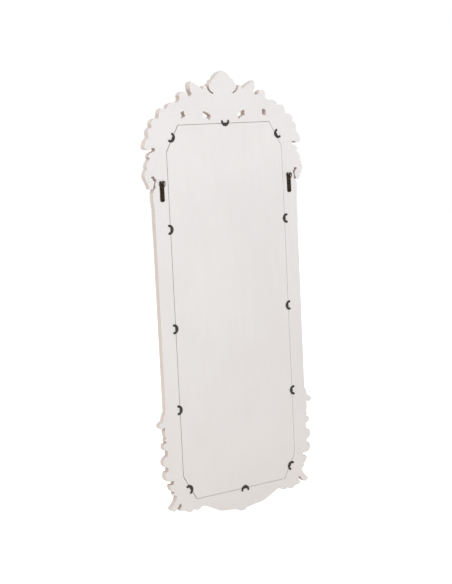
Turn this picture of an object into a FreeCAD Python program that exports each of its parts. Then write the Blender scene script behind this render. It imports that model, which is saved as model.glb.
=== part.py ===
import FreeCAD, Part
import math
import os

from FreeCAD import Vector

# A tall wall mirror with a sawn and carved frame, 1.8 m high.
# The front faces -Y and the wall is on the +Y side: the back of the boards is the plane y = 0.
# The origin lies on that plane, midway between the pivots of the two hanging rings.
# Every piece is drawn about the centre of the mirror panel, and its Placement then
# lowers it by hang_height. Left and right are those of a person facing the glass.

SIZES = {
    # the panel: the eight-sided rebate that holds glass, packing and backing board
    "panel_tall": 1500.0,
    "panel_wide": 567.0,
    "corner_wide": 59.0,
    "corner_tall": 102.0,
    "glass_thick": 4.0,
    "packing_thick": 1.0,
    "backing_thick": 4.0,
    "rebate_play": 1.5,
    "sight_lap": 9.0,
    "line_inset": 27.0,
    "line_wide": 5.0,
    "line_deep": 1.2,
    # the frame boards
    "board_thick": 26.0,
    "rim_wide": 67.0,
    "crest_rise": 207.0,
    "crest_joint_drop": 88.0,
    "apron_drop": 91.0,
    "base_joint_rise": 94.5,
    "wing_reach": 52.0,
    "wing_long": 154.5,
    "side_reach": 32.0,
    "side_long": 282.0,
    # dowels between the boards
    "dowel_radius": 4.0,
    "dowel_long": 52.0,
    "wing_dowel_long": 30.0,
    "dowel_end_gap": 1.0,
    # clearance of any pin, screw or dowel in its hole, on the radius
    "pin_play": 0.1,
    # crescent clips that hold the backing board in
    "clip_bend": 15.1,
    "clip_band": 9.3,
    "clip_swell": 5.2,
    "clip_leg": 1.0,
    "clip_bite": 12.5,
    "clip_thick": 1.6,
    "clip_screw_radius": 1.5,
    "clip_screw_long": 9.0,
    "clip_head_radius": 3.2,
    "clip_head_high": 1.4,
    # strap hangers
    "hanger_drop": 217.0,
    "strap_wide": 20.8,
    "strap_long": 79.0,
    "strap_thick": 1.2,
    "eye_wide": 19.0,
    "eye_gap": 7.5,
    "eye_gap_drop": 4.0,
    "eye_neck_long": 8.0,
    "first_screw_drop": 13.4,
    "screw_pitch": 28.2,
    "strap_screw_radius": 2.0,
    "strap_screw_long": 14.0,
    "strap_head_radius": 3.4,
    # rings of the hangers
    "ring_wire_radius": 1.5,
    "ring_play": 0.3,
    "ring_corner": 2.2,
    "ring_slide": 1.2,
    "ring_half_wide": 12.8,
    "ring_side_long": 6.0,
    # mouldings on the front
    "bead_wide": 16.0,
    "bead_low": 4.0,
    "bead_high": 8.0,
    "bead_step": 3.5,
    "rail_wide": 13.0,
    "rail_low": 3.5,
    "rail_high": 7.5,
    "rail_step": 3.0,
    "edge_margin": 3.0,
    # carving on the front
    "carve_gap": 1.0,
    "crest_margin": 1.0,
    "carve_low": 4.0,
    "carve_high": 11.0,
    "crest_leaf_low": 8.0,
    "crest_leaf_high": 13.0,
    "shell_low": 5.0,
    "shell_high": 15.0,
    "lobe_wide": 34.0,
}

# sizes that follow from the ones above, as sheet formulas
FOLLOWS = {
    "half_tall": "=panel_tall / 2",
    "half_wide": "=panel_wide / 2",
    "frame_half": "=panel_wide / 2 + rim_wide",
    "rebate_deep": "=glass_thick + packing_thick + backing_thick",
    "hang_height": "=panel_tall / 2 - hanger_drop",
    "hanger_out": "=panel_wide / 2 + rim_wide * 0.44",
    "eye_out": "=ring_wire_radius + ring_play + strap_thick",
    "pack_back": "=backing_thick",
    "glass_back": "=backing_thick + packing_thick",
    "dowel_deep": "=board_thick / 2",
}

# shares of the frame's half width at which the side of a board stands in
NECK_SHARE = 0.956
FOOT_SHARE = 0.940

# Outlines. A pair is the end of a straight run. Four numbers are an arc: a point on it, then its end.
# Crest, from the middle of the top down to the notch over the wing. Across: shares of the frame's
# half width. Up: shares of crest_rise over the panel's top, and of crest_joint_drop below it.
CREST_START_SHARE = (0.0, 1.0)
CREST_SHARES = [
    (0.060, 0.957, 0.098, 0.893),
    (0.103, 0.852),
    (0.138, 0.836, 0.158, 0.780),
    (0.182, 0.760, 0.192, 0.716),
    (0.181, 0.650, 0.143, 0.592),
    (0.134, 0.578, 0.148, 0.570),
    (0.196, 0.622, 0.222, 0.700),
    (0.232, 0.722, 0.248, 0.722),
    (0.266, 0.694, 0.276, 0.648),
    (0.330, 0.714),
    (0.376, 0.757),
    (0.434, 0.808),
    (0.446, 0.780),
    (0.451, 0.672, 0.428, 0.575),
    (0.440, 0.545, 0.471, 0.527),
    (0.495, 0.540),
    (0.550, 0.620, 0.601, 0.543),
    (0.594, 0.498, 0.601, 0.457),
    (0.638, 0.418),
    (0.708, 0.414, 0.757, 0.378),
    (0.766, 0.328),
    (0.793, 0.301),
    (0.858, 0.300, 0.876, 0.232),
    (0.891, 0.125),
    (0.956, 0.122, 0.990, 0.046),
    (0.983, -0.060),
    (1.024, -0.130, 1.038, -0.290),
    (1.031, -0.500),
    (1.070, -0.640, 1.087, -0.835),
    (1.088, -0.960, 1.066, -1.020),
    (1.027, -1.045),
    (0.988, -0.955, NECK_SHARE, -1.0),
]
# Base, from the joint with the stile down to the middle of the apron's edge.
# Up: shares of base_joint_rise over the panel's lower edge, and of apron_drop below it.
BASE_START_SHARE = (FOOT_SHARE, 1.0)
BASE_SHARES = [
    (FOOT_SHARE, 0.849),
    (0.974, 0.849),
    (0.995, 0.800, 0.988, 0.725),
    (0.972, 0.590, 0.936, 0.500),
    (0.947, 0.430, 0.936, 0.360),
    (0.909, 0.313),
    (0.925, 0.140, 0.960, -0.030),
    (0.984, -0.112),
    (0.996, -0.205, 0.982, -0.275),
    (0.956, -0.330, 0.928, -0.290),
    (0.884, -0.112),
    (0.866, -0.045, 0.852, -0.110),
    (0.855, -0.200),
    (0.874, -0.315, 0.858, -0.385),
    (0.785, -0.427),
    (0.745, -0.528, 0.694, -0.445),
    (0.670, -0.427),
    (0.640, -0.502, 0.600, -0.455),
    (0.569, -0.378),
    (0.519, -0.403),
    (0.440, -0.550, 0.330, -0.765),
    (0.270, -0.815, 0.200, -0.838),
    (0.060, -0.905),
    (0.050, -0.935),
    (0.026, -0.984, 0.0, -1.0),
]
# Wing, out of the stile's neck. Across: shares of wing_reach. Down: shares of wing_long.
WING_START_SHARE = (0.0, 0.060)
WING_SHARES = [
    (0.160, 0.070, 0.325, 0.098),
    (0.540, 0.140, 0.590, 0.205),
    (0.500, 0.247),
    (0.700, 0.325, 0.829, 0.440),
    (0.790, 0.492),
    (1.010, 0.660, 0.870, 0.805),
    (0.750, 0.890, 0.655, 0.985),
    (0.640, 1.000),
    (0.330, 1.000),
    (0.335, 0.960),
    (0.235, 0.890, 0.215, 0.830),
    (0.340, 0.758),
    (0.490, 0.702),
    (0.206, 0.683),
    (0.149, 0.736),
    (0.000, 0.786),
]
# The stile's edge behind the wing, from the straight edge up to the neck, in the wing's shares.
STILE_TOP_START_SHARE = 1.500
STILE_TOP_SHARES = [
    (0.378, 1.210, 0.362, 1.110),
    (0.290, 1.030),
    (0.180, 1.005, 0.118, 0.960),
    (0.132, 0.905, 0.090, 0.838),
    (0.000, 0.786),
]
# The stile's scalloped edge, from its foot up. Across: shares of side_reach. Up: of side_long.
SIDE_START_SHARE = (0.034, 0.0)
SIDE_SHARES = [
    (0.311, 0.018),
    (0.575, 0.086, 0.390, 0.146),
    (0.034, 0.154),
    (0.034, 0.197),
    (0.311, 0.213),
    (0.710, 0.280, 0.380, 0.352),
    (0.0, 0.372),
    (0.0, 0.443),
    (0.311, 0.455),
    (0.560, 0.500, 0.440, 0.546),
    (0.077, 0.563),
    (0.241, 0.591, 0.105, 0.623),
    (0.283, 0.705, 0.175, 0.785),
    (0.560, 0.768),
    (1.000, 0.795, 0.680, 0.857),
    (0.382, 0.881),
    (0.330, 0.925, 0.241, 0.952),
    (0.0, 0.998),
]
# Holes through the crest, in its shares.
CREST_HOLE_SHARES = {
    "inner": ((0.184, 0.153), [(0.235, 0.212, 0.290, 0.243), (0.291, 0.138), (0.240, 0.111, 0.206, 0.063)]),
    "outer": ((0.530, 0.165), [(0.541, 0.195), (0.552, 0.262), (0.597, 0.224), (0.594, 0.128), (0.566, 0.122)]),
}

# Clips: name, share of the half width, share of the half height, on the panel's straight edges.
CLIP_SHARES = {
    "clip_top": (-0.011, 1.0),
    "clip_bottom": (-0.058, -1.0),
    "clip_left_upper": (-1.0, 0.464),
    "clip_left_middle": (-1.0, -0.022),
    "clip_left_lower": (-1.0, -0.504),
    "clip_right_upper": (1.0, 0.459),
    "clip_right_middle": (1.0, -0.066),
    "clip_right_lower": (1.0, -0.500),
}
CLIP_CORNERS = {
    "clip_corner_top_left": (-1, 1),
    "clip_corner_top_right": (1, 1),
    "clip_corner_bottom_left": (-1, -1),
    "clip_corner_bottom_right": (1, -1),
}
# Clips that were set a little off: shares of clip_bite outward, and of clip_bend along the edge.
CLIP_SLIP_SHARES = {
    "clip_left_upper": (0.17, 0.0),
    "clip_left_middle": (-0.21, 0.0),
    "clip_right_upper": (-0.14, 0.0),
    "clip_corner_top_left": (0.33, 0.39),
    "clip_corner_bottom_left": (0.08, -0.25),
    "clip_corner_bottom_right": (0.03, -0.14),
}
CREST_CLIPS = ["clip_top", "clip_corner_top_left", "clip_corner_top_right"]
BASE_CLIPS = ["clip_bottom", "clip_corner_bottom_left", "clip_corner_bottom_right"]
RIGHT_CLIPS = ["clip_right_upper", "clip_right_middle", "clip_right_lower"]
LEFT_CLIPS = ["clip_left_upper", "clip_left_middle", "clip_left_lower"]

# How far up its own half width the strap's round lower end reaches.
ROUND_END_SHARE = 0.45

# Dowels as shares of rim_wide out from the panel, and of wing_long below the joint.
STILE_DOWEL_SHARES = [0.20, 0.50]
WING_DOWEL_SHARES = [0.33, 0.58]

# Carving. Each piece has a region, a polygon in its board's shares, and leaf lobes: the root's place,
# the tip's place, the width as a share of lobe_wide and the height as a share of the relief.
SHELL_REGION_SHARES = [
    (0.0, 1.10), (0.200, 1.10), (0.186, 0.720), (0.172, 0.640), (0.136, 0.588), (0.122, 0.560),
    (0.085, 0.430), (0.060, 0.345), (0.0, 0.315),
]
SHELL_LOBES = [
    (0.0, 0.38, 0.0, 0.99, 0.78, 1.0),
    (0.012, 0.38, 0.060, 0.95, 0.62, 0.92),
    (0.020, 0.37, 0.122, 0.84, 0.62, 0.84),
    (0.026, 0.36, 0.168, 0.75, 0.58, 0.76),
    (0.030, 0.34, 0.150, 0.64, 0.50, 0.66),
]
CREST_LEAF_REGION_SHARES = [
    (0.150, 0.562), (0.202, 0.622), (0.228, 0.745), (0.300, 0.760), (0.430, 0.840), (0.470, 0.780),
    (0.462, 0.620), (0.424, 0.560), (0.380, 0.470), (0.330, 0.395), (0.240, 0.345), (0.110, 0.350),
    (0.096, 0.400), (0.128, 0.540),
]
CREST_LEAF_LOBES = [
    (0.125, 0.40, 0.242, 0.710, 0.75, 0.75),
    (0.150, 0.40, 0.330, 0.705, 0.80, 0.85),
    (0.170, 0.40, 0.425, 0.775, 1.00, 1.0),
    (0.200, 0.38, 0.435, 0.640, 0.80, 0.85),
    (0.230, 0.38, 0.400, 0.520, 0.60, 0.70),
]
CREST_SCROLL_REGION_SHARES = [
    (0.040, 0.300), (0.110, 0.335), (0.240, 0.330), (0.335, 0.380), (0.390, 0.465), (0.430, 0.548),
    (0.450, 0.520), (0.470, 0.470), (0.500, 0.330), (0.525, 0.268), (0.525, 0.165), (0.560, 0.110),
    (0.520, 0.040), (0.040, 0.040),
]
CREST_SCROLL_LOBES = [
    (0.080, 0.19, 0.180, 0.285, 0.70, 0.8),
    (0.160, 0.27, 0.330, 0.320, 0.75, 0.9),
    (0.300, 0.27, 0.440, 0.480, 0.80, 1.0),
    (0.330, 0.20, 0.480, 0.330, 0.80, 0.9),
    (0.330, 0.12, 0.500, 0.110, 0.80, 0.8),
    (0.300, 0.08, 0.110, 0.070, 0.50, 0.7),
]
SHOULDER_REGION_SHARES = [
    (0.462, 0.535), (0.500, 0.700), (0.640, 0.600), (0.800, 0.450), (1.000, 0.250), (1.150, 0.000),
    (1.150, -1.200), (1.010, -1.100), (0.940, -0.940), (0.830, -0.900), (0.800, -0.500), (0.600, 0.000),
    (0.565, 0.060), (0.615, 0.118), (0.615, 0.235), (0.548, 0.275), (0.520, 0.335), (0.488, 0.470),
]
SHOULDER_LOBES = [
    (0.560, 0.31, 0.548, 0.60, 0.85, 0.9),
    (0.600, 0.29, 0.690, 0.40, 0.80, 1.0),
    (0.640, 0.20, 0.845, 0.285, 0.85, 1.0),
    (0.690, 0.08, 0.955, 0.085, 0.90, 1.0),
    (0.760, -0.08, 1.020, -0.210, 0.90, 1.0),
    (0.820, -0.30, 1.060, -0.780, 0.95, 1.0),
    (0.850, -0.45, 0.960, -0.900, 0.70, 0.8),
]
WING_REGION_SHARES = [
    (-0.220, 0.055), (0.050, 0.055), (0.500, 0.080), (0.800, 0.200), (1.200, 0.500), (1.200, 0.800),
    (0.800, 1.100), (0.220, 1.100), (0.220, 0.840), (0.400, 0.700), (0.140, 0.650), (-0.220, 0.640),
]
WING_LOBES = [
    (-0.100, 0.30, 0.560, 0.175, 0.75, 0.9),
    (0.020, 0.42, 0.780, 0.400, 0.85, 1.0),
    (0.200, 0.50, 0.930, 0.640, 0.95, 1.0),
    (0.560, 0.58, 0.480, 0.960, 0.75, 0.9),
]
SIDE_REGION_SHARES = [
    (-0.900, 0.030), (0.900, 0.030), (1.200, 0.700), (1.200, 0.900), (0.300, 0.985), (-0.250, 0.985),
    (-0.500, 0.700), (-1.100, 0.350), (-1.100, 0.120),
]
SIDE_LOBES = [
    (-0.600, 0.06, 0.480, 0.085, 0.75, 0.9),
    (-0.600, 0.17, 0.560, 0.285, 0.80, 1.0),
    (-0.550, 0.33, 0.470, 0.500, 0.75, 1.0),
    (-0.400, 0.50, 0.200, 0.640, 0.60, 0.9),
    (-0.300, 0.60, 0.850, 0.815, 0.60, 0.9),
    (-0.200, 0.70, 0.150, 0.960, 0.55, 0.8),
]
FOOT_REGION_SHARES = [
    (0.860, 0.960), (1.050, 0.960), (1.050, -0.450), (0.900, -0.450), (0.862, -0.020), (0.800, -0.100),
    (0.720, -0.090), (0.700, 0.150),
]
FOOT_LOBES = [
    (0.880, 0.30, 0.975, 0.780, 0.65, 0.9),
    (0.870, 0.10, 0.925, 0.420, 0.55, 0.8),
    (0.840, 0.05, 0.965, -0.240, 0.70, 1.0),
    (0.860, 0.20, 0.760, -0.020, 0.60, 0.8),
]
APRON_REGION_SHARES = [
    (0.145, -0.110), (0.690, -0.110), (0.780, -0.140), (0.846, -0.060), (0.900, -0.500), (0.500, -0.700),
    (0.250, -1.000), (0.135, -1.000), (0.155, -0.500),
]
APRON_LOBES = [
    (0.560, -0.22, 0.840, -0.280, 0.60, 0.9),
    (0.520, -0.20, 0.735, -0.440, 0.65, 1.0),
    (0.470, -0.22, 0.625, -0.420, 0.55, 0.9),
    (0.430, -0.25, 0.480, -0.440, 0.55, 0.8),
    (0.420, -0.25, 0.190, -0.720, 0.80, 1.0),
    (0.360, -0.22, 0.170, -0.300, 0.60, 0.8),
]
APRON_SHELL_REGION_SHARES = [
    (0.0, -0.100), (0.105, -0.110), (0.138, -0.500), (0.118, -1.100), (0.0, -1.100),
]
APRON_SHELL_LOBES = [
    (0.0, -0.25, 0.0, -0.960, 0.60, 1.0),
    (0.012, -0.24, 0.070, -0.880, 0.55, 0.9),
    (0.020, -0.22, 0.120, -0.640, 0.50, 0.8),
    (0.020, -0.20, 0.108, -0.330, 0.45, 0.7),
]

doc = FreeCAD.newDocument("wall_mirror")
sheet = doc.addObject("Spreadsheet::Sheet", "Sizes")
for row, (alias, value) in enumerate({**SIZES, **FOLLOWS}.items(), start=1):
    sheet.set(f"A{row}", alias)
    sheet.set(f"B{row}", str(value))
    sheet.setAlias(f"B{row}", alias)
doc.recompute()

nodes = []


def size(name):
    """The value of one cell of the sheet, in millimetres."""
    return float(getattr(sheet, name))


half_tall = size("half_tall")
half_wide = size("half_wide")
frame_half = size("frame_half")
neck_x = NECK_SHARE * frame_half
crest_joint_z = half_tall - size("crest_joint_drop")
base_joint_z = -half_tall + size("base_joint_rise")


# Places from shares

def crest_point(across, up):
    rise = size("crest_rise") if up > 0 else size("crest_joint_drop")
    return Vector(across * frame_half, half_tall + up * rise, 0)


def base_point(across, up):
    rise = size("base_joint_rise") if up > 0 else size("apron_drop")
    return Vector(across * frame_half, -half_tall + up * rise, 0)


def wing_point(across, down):
    return Vector(neck_x + across * size("wing_reach"), crest_joint_z - down * size("wing_long"), 0)


def side_point(across, up):
    return Vector(frame_half + across * size("side_reach"), base_joint_z + up * size("side_long"), 0)


def octagon(inset):
    """The panel's eight corners, moved in by inset all round, clockwise from the top left."""
    wide, tall = size("corner_wide"), size("corner_tall")
    slope = math.hypot(wide, tall)
    x = half_wide - inset
    z = half_tall - inset
    x_cut = half_wide - wide - inset * (slope - wide) / tall
    z_cut = half_tall - tall - inset * (slope - tall) / wide
    return [
        Vector(-x_cut, z, 0), Vector(x_cut, z, 0), Vector(x, z_cut, 0), Vector(x, -z_cut, 0),
        Vector(x_cut, -z, 0), Vector(-x_cut, -z, 0), Vector(-x, -z_cut, 0), Vector(-x, z_cut, 0),
    ]


def sight_x(z):
    """How far out the sight edge stands at the height z, on the right side."""
    corners = octagon(size("sight_lap"))
    top, shoulder = corners[1], corners[2]
    if abs(z) <= shoulder.y:
        return shoulder.x
    return shoulder.x + (abs(z) - shoulder.y) * (top.x - shoulder.x) / (top.y - shoulder.y)


# Edges, faces and wires

def run(start, steps, place):
    """Edges from a start point along steps, each a straight run or an arc, in the shares of place."""
    edges = []
    for step in steps:
        end = place(*step[-2:])
        if len(step) == 4:
            edges.append(Part.Arc(start, place(*step[:2]), end))
        else:
            edges.append(Part.LineSegment(start, end))
        start = end
    return edges


def lines(points, closed=True):
    ends = points[1:] + points[:1] if closed else points[1:]
    return [Part.LineSegment(a, b) for a, b in zip(points, ends)]


def mirrored(edges):
    """The same edges on the left side, in reverse order."""
    flipped = []
    for edge in reversed(edges):
        if isinstance(edge, Part.LineSegment):
            ends = [edge.EndPoint, edge.StartPoint]
            flipped.append(Part.LineSegment(*[Vector(-p.x, p.y, 0) for p in ends]))
        else:
            middle = edge.value((edge.FirstParameter + edge.LastParameter) / 2)
            points = [edge.value(edge.LastParameter), middle, edge.value(edge.FirstParameter)]
            flipped.append(Part.Arc(*[Vector(-p.x, p.y, 0) for p in points]))
    return flipped


def front_face(edges):
    """A flat face in the board's front plane, seen with x across and z up."""
    shapes = []
    for edge in edges:
        shape = edge.toShape()
        shape.rotate(Vector(), Vector(1, 0, 0), 90)
        shape.translate(Vector(0, -size("board_thick"), 0))
        shapes.append(shape)
    return Part.Face(Part.Wire(shapes))


# Objects of the document

def lower(obj):
    """Hangs a piece that was drawn about the panel's centre below the origin."""
    obj.setExpression("Placement.Base.z", "-Sizes.hang_height")


def node(obj, label):
    obj.Label = label
    nodes.append(obj)
    return obj


def new_body(label):
    body = doc.addObject("PartDesign::Body", label)
    lower(body)
    return node(body, label)


def sketch(body, name, edges, offset=None):
    """A drawing in the back plane, or at an offset from it towards the front."""
    plane = next(item for item in body.Origin.OriginFeatures if item.Role == "XZ_Plane")
    drawing = body.newObject("Sketcher::SketchObject", f"{body.Name}_{name}")
    drawing.AttachmentSupport = (plane, [""])
    drawing.MapMode = "FlatFace"
    drawing.addGeometry(edges, False)
    if offset:
        drawing.setExpression("AttachmentOffset.Base.z", offset)
    return drawing


def pad(body, name, edges, long, offset=None, backward=False):
    """A slab of the outline, from the back plane or an offset towards the front, or backward."""
    feature = body.newObject("PartDesign::Pad", f"{body.Name}_{name}_pad")
    feature.Profile = sketch(body, name, edges, offset)
    feature.setExpression("Length", long)
    feature.Reversed = backward
    return feature


def pocket(body, name, edges, deep, offset=None):
    """A recess of the outline, cut from the back plane towards the front."""
    feature = body.newObject("PartDesign::Pocket", f"{body.Name}_{name}_pocket")
    feature.Profile = sketch(body, name, edges, offset)
    feature.setExpression("Length", deep)
    feature.Reversed = True
    return feature


def circles(points, radius):
    return [Part.Circle(point, Vector(0, 0, 1), radius) for point in points]


def shaped(label, shape):
    """A node whose shape comes from Part's own functions."""
    feature = doc.addObject("Part::Feature", label)
    feature.Shape = shape
    lower(feature)
    return node(feature, label)


def mirror_node(source, label):
    """The left piece of a pair, from the right one."""
    feature = doc.addObject("Part::Mirroring", label)
    feature.Source = source
    feature.Base = Vector(0, 0, 0)
    feature.Normal = Vector(1, 0, 0)
    return node(feature, label)


# Clips: where each sits, and where its two screws go

def clip_seat(name):
    """The clip's place at the panel's edge and the outward direction there."""
    if name in CLIP_CORNERS:
        side, level = CLIP_CORNERS[name]
        wide, tall = size("corner_wide"), size("corner_tall")
        slope = math.hypot(wide, tall)
        point = Vector(side * (half_wide - wide / 2), level * (half_tall - tall / 2), 0)
        out = Vector(side * tall / slope, level * wide / slope, 0)
    else:
        across, up = CLIP_SHARES[name]
        point = Vector(across * half_wide, up * half_tall, 0)
        out = Vector(round(across) if abs(across) == 1 else 0, round(up) if abs(up) == 1 else 0, 0)
    outward, along = CLIP_SLIP_SHARES.get(name, (0.0, 0.0))
    slip = out * (outward * size("clip_bite")) + Vector(-out.y, out.x, 0) * (along * size("clip_bend"))
    return point + slip, out


def clip_screws(name):
    point, out = clip_seat(name)
    along = Vector(-out.y, out.x, 0)
    reach = size("clip_bend") + size("clip_band") / 2 - size("clip_bite") + size("clip_leg")
    return [point + out * reach + along * (side * size("clip_bend")) for side in (-1, 1)]


def strap_screws(side):
    first = half_tall - size("hanger_drop") - size("first_screw_drop")
    return [Vector(side * size("hanger_out"), first - size("screw_pitch") * i, 0) for i in range(3)]


def stile_dowels(side, joint_z):
    return [Vector(side * (half_wide + share * size("rim_wide")), 0, joint_z) for share in STILE_DOWEL_SHARES]


def wing_dowels(side):
    heights = [crest_joint_z - share * size("wing_long") for share in WING_DOWEL_SHARES]
    return [Vector(side * neck_x, 0, height) for height in heights]


# Frame boards

def rebate_and_screws(body, clips):
    """The step that glass, packing and backing lie in, and the pilot holes of the clips' screws."""
    pocket(body, "rebate", lines(octagon(0)), "Sizes.rebate_deep")
    pins = [point for name in clips for point in clip_screws(name)]
    pocket(body, "clip_pilots", circles(pins, size("clip_screw_radius") + size("pin_play")),
           "Sizes.clip_screw_long + Sizes.dowel_end_gap")


def bored(body, places, axis, long_name, label):
    """A board with its dowel holes: the body less a cylinder round each dowel."""
    radius = size("dowel_radius") + size("pin_play")
    reach = size(long_name) / 2 + size("dowel_end_gap")
    holes = []
    for place in places:
        middle = Vector(place.x, -size("dowel_deep"), place.z - size("hang_height"))
        holes.append(Part.makeCylinder(radius, 2 * reach, middle - axis * reach, axis))
    drill = doc.addObject("Part::Feature", f"{label}_drill")
    drill.Shape = Part.makeCompound(holes)
    cut = doc.addObject("Part::Cut", label)
    cut.Base = body
    cut.Tool = drill
    return cut


crest_side = run(crest_point(*CREST_START_SHARE), CREST_SHARES, crest_point)
crest_corners = octagon(size("sight_lap"))
crest_inner = [
    Vector(neck_x, crest_joint_z, 0),
    Vector(sight_x(crest_joint_z), crest_joint_z, 0),
    crest_corners[1],
    crest_corners[0],
    Vector(-sight_x(crest_joint_z), crest_joint_z, 0),
    Vector(-neck_x, crest_joint_z, 0),
]
crest_outline = crest_side + lines(crest_inner, closed=False) + mirrored(crest_side)


def crest_hole(name, side):
    start_share, steps = CREST_HOLE_SHARES[name]
    start = crest_point(*start_share)
    edges = run(start, steps, crest_point)
    edges.append(Part.LineSegment(crest_point(*steps[-1][-2:]), start))
    return edges if side > 0 else mirrored(edges)


VERTICAL = Vector(0, 0, 1)
SIDEWAYS = Vector(1, 0, 0)


def build_crest():
    body = new_body("crest_blank")
    nodes.remove(body)
    pad(body, "board", crest_outline, "Sizes.board_thick")
    for name in CREST_HOLE_SHARES:
        for side in (-1, 1):
            pocket(body, f"{name}_{'left' if side < 0 else 'right'}", crest_hole(name, side), "Sizes.board_thick")
    rebate_and_screws(body, CREST_CLIPS)
    places = stile_dowels(1, crest_joint_z) + stile_dowels(-1, crest_joint_z)
    return node(bored(body, places, VERTICAL, "dowel_long", "crest_board"), "crest_board")


base_side = run(base_point(*BASE_START_SHARE), BASE_SHARES, base_point)
base_inner = [
    Vector(-FOOT_SHARE * frame_half, base_joint_z, 0),
    Vector(-sight_x(base_joint_z), base_joint_z, 0),
    crest_corners[5],
    crest_corners[4],
    Vector(sight_x(base_joint_z), base_joint_z, 0),
    base_point(*BASE_START_SHARE),
]
base_outline = base_side + mirrored(base_side) + lines(base_inner, closed=False)


def build_base():
    body = new_body("base_blank")
    nodes.remove(body)
    pad(body, "board", base_outline, "Sizes.board_thick")
    rebate_and_screws(body, BASE_CLIPS)
    places = stile_dowels(1, base_joint_z) + stile_dowels(-1, base_joint_z)
    return node(bored(body, places, VERTICAL, "dowel_long", "base_board"), "base_board")


def stile_outline():
    """The right stile: its scalloped edge from the foot up, the neck, and the sight edge down."""
    edges = run(side_point(*SIDE_START_SHARE), SIDE_SHARES, side_point)
    straight_end = Vector(frame_half, crest_joint_z - STILE_TOP_START_SHARE * size("wing_long"), 0)
    edges.append(Part.LineSegment(side_point(*SIDE_SHARES[-1]), straight_end))
    edges += run(straight_end, STILE_TOP_SHARES, wing_point)
    inner = [
        wing_point(*STILE_TOP_SHARES[-1][-2:]),
        Vector(neck_x, crest_joint_z, 0),
        Vector(sight_x(crest_joint_z), crest_joint_z, 0),
        crest_corners[2],
        crest_corners[3],
        Vector(sight_x(base_joint_z), base_joint_z, 0),
        side_point(*SIDE_START_SHARE),
    ]
    return edges + lines(inner, closed=False)


stile_edges = stile_outline()


def build_stile(label, side, clips):
    body = new_body(f"{label}_blank")
    nodes.remove(body)
    pad(body, "board", stile_edges if side > 0 else mirrored(stile_edges), "Sizes.board_thick")
    rebate_and_screws(body, clips)
    pocket(body, "hanger_pilots", circles(strap_screws(side), size("strap_screw_radius") + size("pin_play")),
           "Sizes.strap_screw_long + Sizes.dowel_end_gap")
    ends = stile_dowels(side, crest_joint_z) + stile_dowels(side, base_joint_z)
    drilled = bored(body, ends, VERTICAL, "dowel_long", f"{label}_ends")
    return node(bored(drilled, wing_dowels(side), SIDEWAYS, "wing_dowel_long", label), label)


wing_start = wing_point(*WING_START_SHARE)
wing_outline = run(wing_start, WING_SHARES, wing_point)
wing_outline.append(Part.LineSegment(wing_point(*WING_SHARES[-1][-2:]), wing_start))


def build_wing():
    body = new_body("wing_blank")
    nodes.remove(body)
    pad(body, "board", wing_outline, "Sizes.board_thick")
    return node(bored(body, wing_dowels(1), SIDEWAYS, "wing_dowel_long", "right_wing"), "right_wing")


crest_board = build_crest()
base_board = build_base()
right_stile = build_stile("right_stile", 1, RIGHT_CLIPS)
left_stile = build_stile("left_stile", -1, LEFT_CLIPS)
right_wing = build_wing()
mirror_node(right_wing, "left_wing")


def build_dowels():
    """The glued dowels that join the boards, one cylinder each."""
    pegs = []
    sets = [
        (stile_dowels(side, joint_z), "dowel_long", Vector(0, 0, 1), 0)
        for side in (-1, 1)
        for joint_z in (crest_joint_z, base_joint_z)
    ]
    sets += [(wing_dowels(side), "wing_dowel_long", Vector(0, 1, 0), 90) for side in (-1, 1)]
    for places, long_name, turn_axis, turn in sets:
        for place in places:
            peg = doc.addObject("Part::Cylinder", "dowel")
            peg.setExpression("Radius", "Sizes.dowel_radius")
            peg.setExpression("Height", f"Sizes.{long_name}")
            half = size(long_name) / 2
            shift = Vector(half, 0, 0) if turn else Vector(0, 0, half)
            middle = Vector(place.x, -size("dowel_deep"), place.z - size("hang_height"))
            peg.Placement = FreeCAD.Placement(middle - shift, FreeCAD.Rotation(turn_axis, turn))
            pegs.append(peg)
    group = doc.addObject("Part::Compound", "joint_dowels")
    group.Links = pegs
    return node(group, "joint_dowels")


build_dowels()


# Glass, packing and backing board

def build_sheet(label, thick, back):
    """An eight-sided sheet in the rebate, its back face at the depth given."""
    body = new_body(label)
    pad(body, "sheet", lines(octagon(size("rebate_play"))), f"Sizes.{thick}", offset=back)
    return body


build_sheet("backing_board", "backing_thick", None)
build_sheet("packing_sheet", "packing_thick", "Sizes.pack_back")


def build_glass():
    """The mirror glass, with a V-shaped line engraved in its front along the edge."""
    body = new_body("mirror_glass")
    centre = size("rebate_play") + size("line_inset")
    half = size("line_wide") / 2
    front = "Sizes.glass_back + Sizes.glass_thick"
    deep = front + " - Sizes.line_deep"
    pad(body, "plate", lines(octagon(size("rebate_play"))), "Sizes.glass_thick", offset="Sizes.glass_back")
    cuts = [("PartDesign::SubtractiveLoft", "dish", -half), ("PartDesign::AdditiveLoft", "island", half)]
    for kind, name, step in cuts:
        loft = body.newObject(kind, f"mirror_glass_{name}")
        loft.Profile = sketch(body, f"{name}_front", lines(octagon(centre + step)), front)
        loft.Sections = [sketch(body, f"{name}_floor", lines(octagon(centre)), deep)]
        loft.Ruled = True
    return body


build_glass()


# Crescent clips and their screws

def clip_outline():
    """A crescent that opens towards the frame, broader in its middle, drawn about the panel's edge."""
    bend, band, leg = size("clip_bend"), size("clip_band"), size("clip_leg")
    outer, inner = bend + band / 2, bend - band / 2
    centre = outer - size("clip_bite")
    tip = centre + leg
    edges = run(Vector(-outer, centre, 0), [(0, centre - outer, outer, centre), (outer, tip)], flat)
    edges += run(Vector(outer, tip, 0), [(bend, tip + band / 2, inner, tip), (inner, centre)], flat)
    crown = centre - inner + size("clip_swell")
    edges += run(Vector(inner, centre, 0), [(0, crown, -inner, centre), (-inner, tip)], flat)
    edges += run(Vector(-inner, tip, 0), [(-bend, tip + band / 2, -outer, tip), (-outer, centre)], flat)
    return edges


def flat(x, z):
    return Vector(x, z, 0)


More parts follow.
